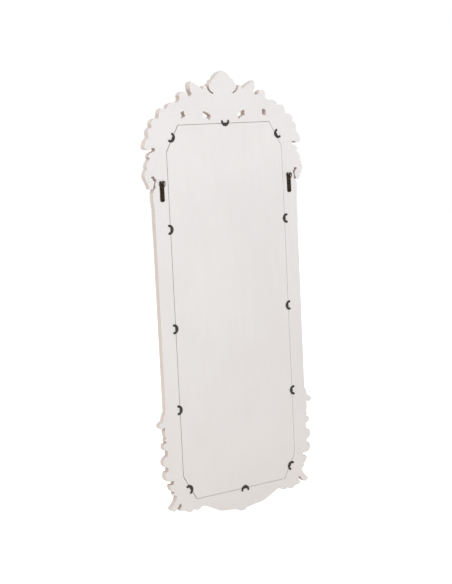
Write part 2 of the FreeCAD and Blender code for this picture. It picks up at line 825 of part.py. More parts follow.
def build_clip(name):
    body = doc.addObject("PartDesign::Body", name)
    pad(body, "crescent", clip_outline(), "Sizes.clip_thick", backward=True)
    reach = size("clip_bend") + size("clip_band") / 2 - size("clip_bite") + size("clip_leg")
    holes = circles([Vector(side * size("clip_bend"), reach, 0) for side in (-1, 1)],
                    size("clip_screw_radius") + size("pin_play"))
    eyes = pocket(body, "eyes", holes, "Sizes.clip_thick")
    eyes.Reversed = False
    point, out = clip_seat(name)
    turn = FreeCAD.Rotation(Vector(0, 1, 0), math.degrees(math.atan2(out.x, out.y)))
    body.Placement = FreeCAD.Placement(Vector(point.x, 0, point.y - size("hang_height")), turn)
    return node(body, name)


for clip_name in [*CLIP_SHARES, *CLIP_CORNERS]:
    build_clip(clip_name)


def build_clip_screws():
    """Round-headed screws through both ends of each clip."""
    screws = []
    radius, head = size("clip_screw_radius"), size("clip_head_radius")
    for name in [*CLIP_SHARES, *CLIP_CORNERS]:
        for point in clip_screws(name):
            seat = Vector(point.x, size("clip_thick"), point.y)
            shank = Part.makeCylinder(radius, size("clip_screw_long") + size("clip_thick"), seat, Vector(0, -1, 0))
            cap = Part.makeCylinder(head, size("clip_head_high"), seat, Vector(0, 1, 0))
            screws.append(shank.fuse(cap).removeSplitter())
    return shaped("clip_screws", Part.makeCompound(screws))


build_clip_screws()


# Strap hangers

def build_strap():
    """A steel strap whose top is rolled into an eye of two knuckles, with three countersunk holes."""
    body = doc.addObject("PartDesign::Body", "strap_blank")
    thick, eye, half, neck = size("strap_thick"), size("eye_out"), size("strap_wide") / 2, size("eye_wide") / 2
    shoulder, low = -size("eye_neck_long"), -size("strap_long")
    start = flat(-neck, 0)
    steps = [(neck, 0), (neck, shoulder), (half, shoulder), (half, low + half * ROUND_END_SHARE)]
    steps += [(0, low, -half, low + half * ROUND_END_SHARE), (-half, shoulder), (-neck, shoulder), (-neck, 0)]
    pad(body, "strip", run(start, steps, flat), "Sizes.strap_thick", backward=True)
    end = Vector(-neck, eye, 0)
    roll = doc.addObject("Part::Feature", "strap_eye")
    roll.Shape = Part.makeCylinder(eye, 2 * neck, end, SIDEWAYS)
    bore = Part.makeCylinder(size("ring_wire_radius") + size("ring_play"), 2 * neck, end, SIDEWAYS)
    bottom = size("strap_screw_radius") + size("pin_play")
    top = size("strap_head_radius") + size("pin_play")
    drops = [size("first_screw_drop") + size("screw_pitch") * i for i in range(3)]
    sinks = [Part.makeCone(bottom, top, thick, Vector(0, 0, -drop), Vector(0, 1, 0)) for drop in drops]
    gap, gap_drop = size("eye_gap"), size("eye_gap_drop")
    notch = Part.makeBox(gap, 3 * eye, gap_drop + 2 * eye, Vector(-gap / 2, -eye / 2, -gap_drop))
    hollow = doc.addObject("Part::Feature", "strap_holes")
    hollow.Shape = Part.makeCompound([bore.fuse(notch), *sinks])
    joined = doc.addObject("Part::Fuse", "strap_joined")
    joined.Base, joined.Tool = body, roll
    strap = doc.addObject("Part::Cut", "right_strap")
    strap.Base, strap.Tool = joined, hollow
    strap.setExpression("Placement.Base.x", "Sizes.hanger_out")
    return node(strap, "right_strap")


right_strap = build_strap()
mirror_node(right_strap, "left_strap")


def build_strap_screws(side, label):
    """Countersunk wood screws that hold a strap, their heads flush with it."""
    screws = []
    radius, head, thick = size("strap_screw_radius"), size("strap_head_radius"), size("strap_thick")
    for point in strap_screws(side):
        seat = Vector(point.x, 0, point.y)
        shank = Part.makeCylinder(radius, size("strap_screw_long"), seat, Vector(0, -1, 0))
        cap = Part.makeCone(radius, head, thick, seat, Vector(0, 1, 0))
        screws.append(shank.fuse(cap).removeSplitter())
    return shaped(label, Part.makeCompound(screws))


build_strap_screws(1, "right_strap_screws")
build_strap_screws(-1, "left_strap_screws")


def build_ring(label, side):
    """A D of round wire: its straight bar turns in the strap's eye, its bow hangs below."""
    half, corner, side_long = size("ring_half_wide"), size("ring_corner"), size("ring_side_long")
    low = -corner - side_long
    diagonal = corner * (1 - math.sqrt(0.5))

    def at(x, z):
        return Vector(x + side * size("hanger_out") - size("ring_slide"), size("eye_out"), z)

    start = at(0, 0)
    path = [
        Part.LineSegment(start, at(half - corner, 0)),
        Part.Arc(at(half - corner, 0), at(half - diagonal, -diagonal), at(half, -corner)),
        Part.LineSegment(at(half, -corner), at(half, low)),
        Part.Arc(at(half, low), at(0, low - half), at(-half, low)),
        Part.LineSegment(at(-half, low), at(-half, -corner)),
        Part.Arc(at(-half, -corner), at(-half + diagonal, -diagonal), at(-half + corner, 0)),
        Part.LineSegment(at(-half + corner, 0), start),
    ]
    wire = Part.Wire([piece.toShape() for piece in path])
    section = Part.Wire([Part.makeCircle(size("ring_wire_radius"), start, SIDEWAYS)])
    ring = doc.addObject("Part::Feature", label)
    ring.Shape = wire.makePipeShell([section], True, False)
    return node(ring, label)


build_ring("right_ring", 1)
build_ring("left_ring", -1)


# Mouldings on the front

def build_bead(label, index):
    """One mitred length of the moulding round the glass, in two steps."""
    body = new_body(label)
    near = octagon(size("sight_lap"))
    far = octagon(size("sight_lap") - size("bead_wide"))
    crown_near = octagon(size("sight_lap") - size("bead_step"))
    crown_far = octagon(size("sight_lap") - size("bead_wide") + size("bead_step"))
    after = (index + 1) % 8
    pad(body, "foot", lines([near[index], near[after], far[after], far[index]]), "Sizes.bead_low",
        offset="Sizes.board_thick")
    pad(body, "crown", lines([crown_near[index], crown_near[after], crown_far[after], crown_far[index]]),
        "Sizes.bead_high - Sizes.bead_low", offset="Sizes.board_thick + Sizes.bead_low")
    return body


BEADS = ["top", "corner_top_right", "right", "corner_bottom_right", "bottom", "corner_bottom_left",
         "left", "corner_top_left"]
for bead_index, bead_place in enumerate(BEADS):
    build_bead(f"sight_moulding_{bead_place}", bead_index)


def build_rail():
    """The moulding along the stile's outer edge, between the leaf below and the wing above."""
    body = new_body("right_rail_moulding")
    outer = frame_half - size("edge_margin")
    inner = outer - size("rail_wide")
    top = crest_joint_z - STILE_TOP_START_SHARE * size("wing_long")
    bottom = side_point(0.0, 1.0).y + size("edge_margin")
    step = size("rail_step")
    pad(body, "foot", lines([flat(inner, bottom), flat(outer, bottom), flat(outer, top), flat(inner, top)]),
        "Sizes.rail_low", offset="Sizes.board_thick")
    crown = [flat(inner + step, bottom + step), flat(outer - step, bottom + step),
             flat(outer - step, top - step), flat(inner + step, top - step)]
    pad(body, "crown", lines(crown), "Sizes.rail_high - Sizes.rail_low",
        offset="Sizes.board_thick + Sizes.rail_low")
    return body


mirror_node(build_rail(), "left_rail_moulding")


# Carving on the front

def lobe(root, tip, wide, high):
    """A leaf lobe: a ridged roof from its root to its tip, standing on the board's front."""
    along = (tip - root).normalize()
    across = Vector(-along.y, along.x, 0)
    length = (tip - root).Length
    front = -size("board_thick")

    def at(forward, sideways, up):
        flat_point = root + along * (forward * length) + across * (sideways * wide)
        return Vector(flat_point.x, front - up, flat_point.y)

    back_left, back_right = at(0, 0.24, 0), at(0, -0.24, 0)
    left, right = at(0.66, 0.5, 0), at(0.66, -0.5, 0)
    nose_left, nose_right = at(0.97, 0.24, 0), at(0.97, -0.24, 0)
    ridge_back, ridge_front = at(0, 0, high * 0.72), at(0.72, 0, high)
    triangles = [
        (back_left, ridge_back, back_right),
        (back_left, left, ridge_back), (left, ridge_front, ridge_back),
        (left, nose_left, ridge_front),
        (right, back_right, ridge_back), (right, ridge_back, ridge_front),
        (nose_right, right, ridge_front),
        (nose_left, nose_right, ridge_front),
    ]
    faces = [Part.Face(Part.makePolygon([*corners, corners[0]])) for corners in triangles]
    ring = [back_left, back_right, right, nose_right, nose_left, left]
    faces.append(Part.Face(Part.makePolygon([*ring, ring[0]])))
    solid = Part.Solid(Part.Shell(faces))
    if solid.Volume < 0:
        solid.reverse()
    return solid


def carve(label, board_face, region, lobes, place, low, high, both_sides=False):
    """A carved piece: a low ground in its region of the board, with lobes standing on it."""
    points = [place(*share) for share in region]
    outline = lines(points)
    if both_sides:
        outline = lines(points, closed=False)
        outline += mirrored(outline)
    keep = front_face(outline).common(board_face).cut(glass_keep_out)
    forward = Vector(0, -1, 0)
    shape = keep.extrude(forward * size(low))
    block = keep.extrude(forward * size(high))
    for root_x, root_z, tip_x, tip_z, wide, tall in lobes:
        sides = (1, -1) if both_sides and tip_x else (1,)
        for side in sides:
            root, tip = place(root_x, root_z), place(tip_x, tip_z)
            root.x *= side
            tip.x *= side
            piece = lobe(root, tip, wide * size("lobe_wide"), tall * size(high))
            shape = shape.fuse(piece.common(block))
    shape = shape.removeSplitter()
    solid = max(shape.Solids, key=lambda item: item.Volume)
    return shaped(label, solid)


def inset_face(edges, margin):
    """The board's front with a margin taken off its sawn edge."""
    return front_face(edges).makeOffset2D(-size(margin))


glass_keep_out = front_face(lines(octagon(size("sight_lap") - size("bead_wide") - size("carve_gap"))))
crest_front = inset_face(crest_outline, "crest_margin")
for hole_name in CREST_HOLE_SHARES:
    crest_front = crest_front.cut(front_face(crest_hole(hole_name, 1)))
base_front = inset_face(base_outline, "edge_margin")
stile_front = inset_face(stile_edges, "edge_margin")
wing_front = inset_face(wing_outline, "edge_margin")

carve("crest_shell", crest_front, SHELL_REGION_SHARES, SHELL_LOBES, crest_point, "shell_low", "shell_high",
      both_sides=True)
carve("apron_shell", base_front, APRON_SHELL_REGION_SHARES, APRON_SHELL_LOBES, base_point, "carve_low",
      "carve_high", both_sides=True)
crest_leaf = carve("right_crest_leaf", crest_front, CREST_LEAF_REGION_SHARES, CREST_LEAF_LOBES, crest_point,
                   "crest_leaf_low", "crest_leaf_high")
mirror_node(crest_leaf, "left_crest_leaf")
PAIRS = [
    ("crest_scroll", crest_front, CREST_SCROLL_REGION_SHARES, CREST_SCROLL_LOBES, crest_point),
    ("shoulder_leaf", crest_front, SHOULDER_REGION_SHARES, SHOULDER_LOBES, crest_point),
    ("wing_leaf", wing_front, WING_REGION_SHARES, WING_LOBES, wing_point),
    ("side_leaf", stile_front, SIDE_REGION_SHARES, SIDE_LOBES, side_point),
    ("foot_leaf", base_front, FOOT_REGION_SHARES, FOOT_LOBES, base_point),
    ("apron_leaf", base_front, APRON_REGION_SHARES, APRON_LOBES, base_point),
]
for pair_name, face, region, lobes, place in PAIRS:
    leaf = carve(f"right_{pair_name}", face, region, lobes, place, "carve_low", "carve_high")
    mirror_node(leaf, f"left_{pair_name}")


# Check and export

doc.recompute()
for item in doc.Objects:
    if "Invalid" in item.State or "Error" in item.State:
        raise RuntimeError(f"{item.Label} failed: {item.State}")
os.makedirs("parts", exist_ok=True)
for item in nodes:
    if item.Shape.isNull() or not item.Shape.isValid():
        raise RuntimeError(f"{item.Label} has no valid shape")
    item.Shape.exportStep(f"parts/{item.Label}.step")
    box = item.Shape.BoundBox
    print(f"{item.Label}: {len(item.Shape.Solids)} solids, {box.XLength:.1f} x {box.YLength:.1f} x {box.ZLength:.1f}")
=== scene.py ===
import math

import bmesh
import bpy
import numpy as np
from mathutils import Matrix, Vector
from mathutils.bvhtree import BVHTree
from mathutils.geometry import delaunay_2d_cdt


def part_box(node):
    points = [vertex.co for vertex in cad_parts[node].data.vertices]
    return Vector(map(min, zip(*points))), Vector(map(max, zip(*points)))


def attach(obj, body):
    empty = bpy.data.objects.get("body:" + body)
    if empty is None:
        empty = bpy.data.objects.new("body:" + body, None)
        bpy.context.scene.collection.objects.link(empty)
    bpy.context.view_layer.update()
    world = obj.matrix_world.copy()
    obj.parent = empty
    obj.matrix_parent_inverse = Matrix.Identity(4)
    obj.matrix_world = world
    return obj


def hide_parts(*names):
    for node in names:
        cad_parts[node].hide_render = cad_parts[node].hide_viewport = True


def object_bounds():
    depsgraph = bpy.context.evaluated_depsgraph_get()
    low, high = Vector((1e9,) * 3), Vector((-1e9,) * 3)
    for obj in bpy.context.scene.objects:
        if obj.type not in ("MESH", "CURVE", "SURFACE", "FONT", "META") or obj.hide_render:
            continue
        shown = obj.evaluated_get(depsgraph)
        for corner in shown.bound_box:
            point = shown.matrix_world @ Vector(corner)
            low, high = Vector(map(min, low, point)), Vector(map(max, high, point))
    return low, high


# A tall wall mirror seen from its painted back. The boards, clips and hangers show in the
# photograph; the carved front is out of its view and follows the sawn outline.

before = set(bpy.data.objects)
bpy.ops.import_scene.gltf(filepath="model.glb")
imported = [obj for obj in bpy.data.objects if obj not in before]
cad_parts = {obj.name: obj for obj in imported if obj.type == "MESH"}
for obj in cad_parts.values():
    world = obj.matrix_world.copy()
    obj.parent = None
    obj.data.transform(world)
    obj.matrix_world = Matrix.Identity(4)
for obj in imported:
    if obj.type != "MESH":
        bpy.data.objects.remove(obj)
cad_low, cad_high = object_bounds()

# Sizes, in metres

MM = 0.001
REBATE_PLAY = 1.5 * MM
EDGE_MARGIN = 3.0 * MM
SIGHT_LAP = 9.0 * MM
CORNER_WIDE = 59.0 * MM
CORNER_TALL = 102.0 * MM
CORNER_SLOPE = math.hypot(CORNER_WIDE, CORNER_TALL)
BOARD_EDGE = 0.5 * MM
PANEL_EDGE = 0.4 * MM
STRAP_EDGE = 0.22 * MM
SCREW_HOLE = 10.0 * MM

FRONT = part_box("crest_board")[0].y
PANEL_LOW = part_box("backing_board")[0].z - REBATE_PLAY
PANEL_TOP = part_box("backing_board")[1].z + REBATE_PLAY
PANEL_MIDDLE = (PANEL_LOW + PANEL_TOP) / 2
HALF_TALL = (PANEL_TOP - PANEL_LOW) / 2
HALF_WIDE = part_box("backing_board")[1].x + REBATE_PLAY
FRAME_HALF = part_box("right_rail_moulding")[1].x + EDGE_MARGIN
CREST_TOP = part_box("crest_board")[1].z
APRON_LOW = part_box("base_board")[0].z
CREST_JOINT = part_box("right_stile")[1].z
BASE_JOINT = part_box("right_stile")[0].z
NECK_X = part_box("right_wing")[0].x
WING_REACH = 52.0 * MM
WING_LONG = CREST_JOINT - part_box("right_wing")[0].z
SIDE_REACH = 32.0 * MM
SIDE_LONG = 282.0 * MM

# The camera stands behind the mirror, to its right-hand side as seen from the front.
CAMERA_PLACE = Vector((3.1594, 4.4587, 0.1591))
CAMERA_RIGHT = Vector((-0.8146, 0.5780, -0.0480))
CAMERA_UP = Vector((-0.1045, -0.0648, 0.9924))
CAMERA_BACK = Vector((0.5705, 0.8135, 0.1132))
CAMERA_LENS = 83.49


# Node graphs

def operator(operation):
    """A method that adds a Math node of this operation."""
    return lambda self, other=0.0: self.math(operation, self, other)


class Signal:
    """An output of a node. Operators on it add Math nodes."""

    def __init__(self, graph, socket):
        self.graph, self.socket = graph, socket

    def math(self, operation, first, second):
        return self.graph.add("ShaderNodeMath", first, second, operation=operation)

    def __rsub__(self, other):
        return self.math("SUBTRACT", other, self)

    __add__ = operator("ADD")
    __sub__ = operator("SUBTRACT")
    __mul__ = operator("MULTIPLY")
    __truediv__ = operator("DIVIDE")
    __pow__ = operator("POWER")
    __gt__ = operator("GREATER_THAN")
    __abs__ = operator("ABSOLUTE")

    def ramp(self, low, high):
        """0 below low and 1 above high, with a soft change between them."""
        return self.graph.add("ShaderNodeMapRange", self, low, high, 0.0, 1.0,
                              interpolation_type="SMOOTHSTEP")


class Graph:
    """A node tree that is written as expressions."""

    def __init__(self, tree):
        self.tree = tree

    def add(self, kind, *inputs, out=0, **named):
        """A new node, as the signal of one output. Names in small letters are settings, others inputs."""
        node = self.tree.nodes.new(kind)
        for name in [name for name in named if name.islower()]:
            setattr(node, name, named.pop(name))
        for index, value in enumerate(inputs):
            self.feed(node.inputs[index], value)
        for name, value in named.items():
            self.feed(node.inputs[name.replace("_", " ")], value)
        return Signal(self, node.outputs[out] if node.outputs else None)

    def feed(self, socket, value):
        if isinstance(value, Signal):
            self.tree.links.new(value.socket, socket)
        elif value is not None:
            socket.default_value = value

    def seen_directly(self):
        """1 where the camera looks straight, in a reflection or through glass, and 0 for all other light."""
        path = self.tree.nodes.new("ShaderNodeLightPath")
        rays = [Signal(self, path.outputs[name])
                for name in ("Is Camera Ray", "Is Glossy Ray", "Is Transmission Ray")]
        return rays[0] + rays[1] + rays[2]


def linear(red, green, blue):
    """A colour from 0 to 255 as the shader wants it."""
    shares = [channel / 255 for channel in (red, green, blue)]
    return (*[s / 12.92 if s <= 0.04045 else ((s + 0.055) / 1.055) ** 2.4 for s in shares], 1.0)


class Finish(Graph):
    """The node tree of a new material."""

    def __init__(self, name):
        self.material = bpy.data.materials.new(name)
        self.material.use_nodes = True
        self.material.node_tree.nodes.clear()
        super().__init__(self.material.node_tree)
        self.place = self.add("ShaderNodeTexCoord", out="Object")

    def noise(self, scale, detail=3.0, roughness=0.5, stretch=(1.0, 1.0, 1.0), shift=0.0):
        """Soft noise from 0 to 1, in lumps per metre. A stretch below 1 draws it out along that axis."""
        place = self.add("ShaderNodeMapping", self.place, (shift, shift, shift), (0, 0, 0), stretch)
        return self.add("ShaderNodeTexNoise", noise_dimensions="3D", Vector=place, Scale=scale,
                        Detail=detail, Roughness=roughness)

    def mapped(self, name, part):
        """One of the two numbers that the mesh's map of this name holds."""
        place = self.add("ShaderNodeUVMap", uv_map=name)
        return self.add("ShaderNodeSeparateXYZ", place, out=part)

    def blend(self, share, first, second):
        """The first colour where share is 0 and the second where it is 1. A colour is a signal, or three
        numbers from 0 to 255 as in a paint program."""
        colours = [linear(*colour) if isinstance(colour, tuple) else colour for colour in (first, second)]
        return self.add("ShaderNodeMix", share, *[None] * 5, *colours, data_type="RGBA", out=2)

    def darkened_lower_down(self, share, colour, lower_shade):
        """A colour that turns towards a darker tone of painted shade from the hangers down to the foot of
        the mirror.
        """
        below = self.add("ShaderNodeSeparateXYZ", self.place, out=2) * -1.0
        return self.blend(below.ramp(0.1, 1.35) * share, colour, lower_shade)

    def bump(self, height, deep, strength):
        return self.add("ShaderNodeBump", Strength=strength, Distance=deep, Height=height)

    def surface(self, colour, roughness, normal, metallic=0.0):
        """Ends the tree with one Principled surface."""
        shader = self.add("ShaderNodeBsdfPrincipled", Base_Color=colour, Roughness=roughness,
                          Metallic=metallic, Normal=normal)
        self.add("ShaderNodeOutputMaterial", shader)
        return self.material


def brushed_white(name, stretch, warm=0.0):
    """Off-white paint on flat board: faint brush marks, cloudy tone, rubbed specks, and painted shade that
    makes it darker and yellower low down.
    """
    paint = Finish(name)
    cloud = paint.noise(2.2, 2.0)
    strokes = paint.noise(60.0, 4.0, 0.6, stretch)
    specks = paint.noise(420.0, 2.0, 0.5).ramp(0.70, 0.76) * paint.noise(9.0, 1.0).ramp(0.5, 0.7)
    light = (243 - 2 * warm, 240 - 4 * warm, 239 - 5 * warm)
    deep = (237 - 2 * warm, 233 - 4 * warm, 232 - 5 * warm)
    base = paint.blend((cloud * 0.8 + strokes * 0.35).ramp(0.35, 0.85), light, deep)
    colour = paint.blend(specks * 0.30, base, (204, 188, 175))
    # Painted shade: the paint turns darker and yellower towards the foot.
    colour = paint.darkened_lower_down(0.4, colour, (230, 222, 214))
    rough = strokes * 0.14 + 0.48
    normal = paint.bump(strokes * 0.7 + paint.noise(900.0, 2.0) * 0.2, 0.00012, 0.7)
    return paint.surface(colour, rough, normal)


def sawn_edge():
    """The sawn sides: thin pinkish paint, worn in patches, and painted shade that makes them browner in
    corners, darkest where a slit is narrow, greyer on sides that face up, and darker low down."""
    paint = Finish("thin_paint_on_sawn_edge")
    narrow, upward = paint.mapped("notch", 0), paint.mapped("notch", 1)
    patches = paint.noise(26.0, 4.0, 0.65).ramp(0.54, 0.78)
    marks = paint.noise(380.0, 2.0, 0.6, (1.0, 0.08, 1.0))
    base = paint.blend(marks * 0.5, (232, 220, 213), (220, 207, 199))
    # Painted shade: darker and warmer towards the foot.
    base = paint.darkened_lower_down(0.5, base, (230, 209, 193))
    worn = paint.blend(patches * 0.45, base, (184, 158, 143))
    # Painted shade: sides that face up are toned greyer and darker.
    upward_shade = paint.blend(upward.ramp(0.0, 0.8) * 0.95, worn, (207, 199, 195))
    # Painted shade: browner where the wall is shut in by other walls, in corners and slits.
    shut = narrow * (paint.noise(48.0, 3.0, 0.6, shift=3.1).ramp(0.42, 0.62) * 1.2 + 0.6)
    thin = paint.blend(shut.ramp(0.07, 0.46) * 0.86, upward_shade, (200, 183, 174))
    # Painted shade: nearly dark brown where a slit is narrowest.
    colour = paint.blend(narrow.ramp(0.78, 0.97) * 0.95, thin, (72, 57, 49))
    return paint.surface(colour, marks * 0.12 + 0.58, paint.bump(marks, 0.0003, 0.7))


def carved_white():
    """Off-white paint on carving, with a brown glaze left in the hollows and rubbed crests."""
    paint = Finish("glazed_paint_on_carving")
    level, hollow = paint.mapped("relief", 0), paint.mapped("relief", 1)
    cloud = paint.noise(14.0, 4.0, 0.6)
    fine = paint.noise(300.0, 3.0, 0.6)
    base = paint.blend(cloud, (237, 234, 229), (227, 222, 215))
    glaze = (hollow + (cloud - 0.5) * 0.5).ramp(0.25, 1.0)
    glazed = paint.blend(glaze * 0.72, base, (170, 148, 128))
    rubbed = (level + (fine - 0.5) * 0.5).ramp(0.92, 1.12)
    colour = paint.blend(rubbed * 0.4, glazed, (205, 186, 168))
    normal = paint.bump(fine * 0.6 + cloud * 0.4, 0.0003, 0.6)
    return paint.surface(colour, fine * 0.15 + 0.46, normal)


def moulded_white():
    """Off-white paint on the mouldings, with fine brush marks and a trace of glaze."""
    paint = Finish("painted_moulding")
    cloud = paint.noise(10.0, 3.0)
    fine = paint.noise(260.0, 3.0, 0.6)
    base = paint.blend(cloud, (236, 233, 228), (226, 221, 214))
    colour = paint.blend(fine.ramp(0.62, 0.78) * 0.35, base, (192, 172, 152))
    return paint.surface(colour, fine * 0.14 + 0.42, paint.bump(fine, 0.0002, 0.6))


def plain_wood(name, light, dark, stretch):
    """Bare wood with fibres along one axis."""
    wood = Finish(name)
    fibre = wood.noise(160.0, 5.0, 0.65, stretch)
    bands = wood.noise(22.0, 2.0, 0.5, stretch)
    colour = wood.blend((fibre * 0.6 + bands * 0.5).ramp(0.3, 0.8), light, dark)
    return wood.surface(colour, fibre * 0.2 + 0.55, wood.bump(fibre, 0.0002, 0.6))


def metal(name, light, dark, rough, metallic):
    """Worn metal: tone and gloss vary in soft patches and fine scratches."""
    steel = Finish(name)
    patch = steel.noise(180.0, 4.0, 0.6)
    fine = steel.noise(2000.0, 2.0, 0.5, (1.0, 1.0, 0.25))
    colour = steel.blend(patch.ramp(0.35, 0.7), light, dark)
    normal = steel.bump(patch * 0.6 + fine * 0.4, 0.00006, 0.5)
    return steel.surface(colour, (patch - 0.5) * 0.25 + rough, normal, metallic)


def silvered():
    """Mirror silver behind glass, with a very faint ripple."""
    glass = Finish("silvered_glass")
    ripple = glass.noise(7.0, 1.0)
    bloom = glass.noise(45.0, 4.0, 0.7).ramp(0.66, 0.9)
    colour = glass.blend(bloom * 0.25, (206, 212, 213), (186, 190, 188))
    return glass.surface(colour, bloom * 0.05 + 0.02, glass.bump(ripple, 0.00008, 0.3), 1.0)


white_upright = brushed_white("white_paint_along_stiles", (1.0, 1.0, 0.06))
white_level = brushed_white("white_paint_along_rails", (0.06, 1.0, 1.0))
white_panel = brushed_white("white_paint_on_panel", (0.5, 1.0, 0.12), 0.1)
edge_paint = sawn_edge()
carved_paint = carved_white()
moulding_paint = moulded_white()
bare_wood = plain_wood("bare_wood_in_holes", (206, 178, 146), (168, 134, 102), (1.0, 1.0, 0.08))
# The raw brown edge of the backing board; the same material is painted shade on the panel's bevels at the
# cut corners.
raw_edge_and_gap_shade = plain_wood("raw_edge_of_backing_board", (78, 50, 34), (54, 34, 22), (1.0, 1.0, 1.0))
dowel_wood = plain_wood("beech_dowels", (214, 180, 140), (182, 142, 104), (1.0, 1.0, 0.10))
packing_card = plain_wood("brown_packing_card", (150, 122, 96), (128, 102, 78), (1.0, 1.0, 0.4))
clip_steel = metal("blackened_clip_steel", (55, 51, 47), (34, 30, 27), 0.62, 0.1)
clip_screw_steel = metal("black_clip_screws", (30, 29, 29), (14, 14, 14), 0.55, 0.1)
strap_bronze = metal("dark_bronzed_strap", (68, 55, 43), (26, 19, 14), 0.50, 0.9)
strap_screw_steel = metal("dark_strap_screws", (30, 23, 18), (14, 11, 9), 0.55, 0.9)
ring_brass = metal("worn_bronzed_wire", (88, 71, 53), (42, 33, 25), 0.32, 0.9)
mirror_silver = silvered()


# Making pieces

def placed(name, data):
    """A new object in the scene."""
    obj = bpy.data.objects.new(name, data)
    bpy.context.scene.collection.objects.link(obj)
    return obj


def piece(mesh, materials, nodes, body="frame"):
    """A finished object at the origin, named as its mesh, that stands for its CAD nodes if it has any."""
    obj = placed(mesh.name, mesh)
    mesh.materials.clear()
    for material in materials:
        mesh.materials.append(material)
    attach(obj, body)
    if nodes:
        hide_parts(*nodes)


def evaluated_mesh(obj, name):
    """The mesh that an object's modifiers give; the object itself is removed."""
    view = bpy.context.evaluated_depsgraph_get()
    mesh = bpy.data.meshes.new_from_object(obj.evaluated_get(view))
    bpy.data.objects.remove(obj)
    mesh.name = name
    return mesh


def finished_mesh(cut, name):
    """The mesh that a bmesh holds; the bmesh itself is freed."""
    mesh = bpy.data.meshes.new(name)
    cut.to_mesh(mesh)
    cut.free()
    return mesh


def merged_copy(node):
    """A CAD node's mesh with its loose triangles joined and flat areas made whole."""
    cut = bmesh.new()
    cut.from_mesh(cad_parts[node].data)
    bmesh.ops.remove_doubles(cut, verts=cut.verts, dist=1e-6)
    bmesh.ops.dissolve_limit(cut, angle_limit=math.radians(0.5), verts=cut.verts, edges=cut.edges)
    return cut


def touching(items, neighbours):
    """The items in groups, where each item touches another one of its group."""
    left, groups = set(items), []
    while left:
        group, ahead = [], [left.pop()]
        while ahead:
            item = ahead.pop()
            group.append(item)
            near = left.intersection(neighbours(item))
            left -= near
            ahead += near
        groups.append(group)
    return groups


def spread(places):
    """How far a group of places reaches along its longest axis."""
    return max(max(values) - min(values) for values in zip(*places))


SMOOTH_ANGLE = math.radians(26)
FLAT_NORMAL = 0.999


def softened(node, name, wide, angle=30.0, small_hole=0.0):
    """A CAD node's mesh with its sharp edges taken off by a bevel, apart from the rims of small holes."""
    cut = merged_copy(node)
    weight = cut.edges.layers.float.new("bevel_weight_edge")
    sharp = {edge for edge in cut.edges if edge.calc_face_angle(0.0) > math.radians(angle)}
    for rim in touching(sharp, lambda edge: [other for vert in edge.verts for other in vert.link_edges]):
        kept = spread([vert.co for edge in rim for vert in edge.verts]) > small_hole
        for edge in rim:
            edge[weight] = 1.0 if kept else 0.0
    draft = placed("draft", finished_mesh(cut, "draft"))
    bevel = draft.modifiers.new("Edge", "BEVEL")
    bevel.width = wide
    bevel.segments = 1
    bevel.limit_method = "WEIGHT"
    bevel.use_clamp_overlap = False
    result = evaluated_mesh(draft, name)
    result.set_sharp_from_angle(angle=SMOOTH_ANGLE)
    result.polygons.foreach_set("use_smooth", [abs(face.normal.y) < FLAT_NORMAL for face in result.polygons])
    return result


BOARDS = {"crest_board": white_level, "base_board": white_level, "left_stile": white_upright,
          "right_stile": white_upright, "left_wing": white_upright, "right_wing": white_upright}
PAINTED, SAWN, BARE = range(3)
NOTCH_WIDE = 42.0 * MM
NOTCH_LOOKS = range(-72, 73, 18)
LOOK_START = 0.1 * MM


def board_sides():
    """A search tree of all frame boards, to find the wall that faces another wall."""
    verts, faces = [], []
    for node in BOARDS:
        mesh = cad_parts[node].data
        first = len(verts)
        verts += [vert.co.copy() for vert in mesh.vertices]
        faces += [[first + index for index in face.vertices] for face in mesh.polygons]
    return BVHTree.FromPolygons(verts, faces)


def closeness(sides, place, normal):
    """How much of the view out from a wall is shut in by other walls, from 0 in the open to nearly 1."""
    total = 0
    for degrees in NOTCH_LOOKS:
        look = Matrix.Rotation(math.radians(degrees), 3, "Y") @ normal
        gap = sides.ray_cast(place + normal * LOOK_START, look, NOTCH_WIDE)[3]
        total += 0 if gap is None else 1 - gap / NOTCH_WIDE
    return total / len(NOTCH_LOOKS)


def board(node, face_paint, sides):
    """A frame board: painted flats and rebate, thin paint on the sawn sides, bare wood under the glass."""
    mesh = softened(node, f"{node}_painted", BOARD_EDGE, small_hole=SCREW_HOLE)
    piece(mesh, [face_paint, edge_paint, bare_wood], [node])
    notch = mesh.uv_layers.new(name="notch")
    for face in mesh.polygons:
        if face.center.y < -BOARD_EDGE and in_panel(face.center.x, face.center.z):
            face.material_index = BARE if face.normal.y > 0.5 else PAINTED
        elif abs(face.normal.y) < 0.5:
            face.material_index = SAWN
            # The map holds how shut in the wall is and whether it faces up, both for painted shade on the
            # sawn sides.
            share = closeness(sides, face.center, face.normal)
            for loop in face.loop_indices:
                notch.data[loop].uv = (share, max(face.normal.z, 0))


def in_panel(x, z):
    """Whether a place lies within the rebate's outline."""
    across, up = abs(x), abs(z - PANEL_MIDDLE)
    corner = (across - HALF_WIDE) / CORNER_WIDE + (up - HALF_TALL) / CORNER_TALL
    return across < HALF_WIDE + 1e-4 and up < HALF_TALL + 1e-4 and corner < -1 + 1e-3


all_sides = board_sides()
for board_node, board_paint in BOARDS.items():
    board(board_node, board_paint, all_sides)

# The paint covers the panel's taken-off edge; at the cut corners that edge gets the dark raw material as
# painted shade, which widens the shaded gap line there.
panel_mesh = softened("backing_board", "backing_board_painted", PANEL_EDGE)
piece(panel_mesh, [white_panel, raw_edge_and_gap_shade], ["backing_board"])
for panel_face in panel_mesh.polygons:
    sloping = min(abs(panel_face.normal.x), abs(panel_face.normal.z)) > 0.1
    panel_face.material_index = 0 if panel_face.normal.y > (0.9 if sloping else 0.5) else 1

for node_name, material in (("joint_dowels", dowel_wood), ("packing_sheet", packing_card),
                            ("mirror_glass", mirror_silver)):
    node_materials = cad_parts[node_name].data.materials
    node_materials.clear()
    node_materials.append(material)


# Geometry Nodes recipes

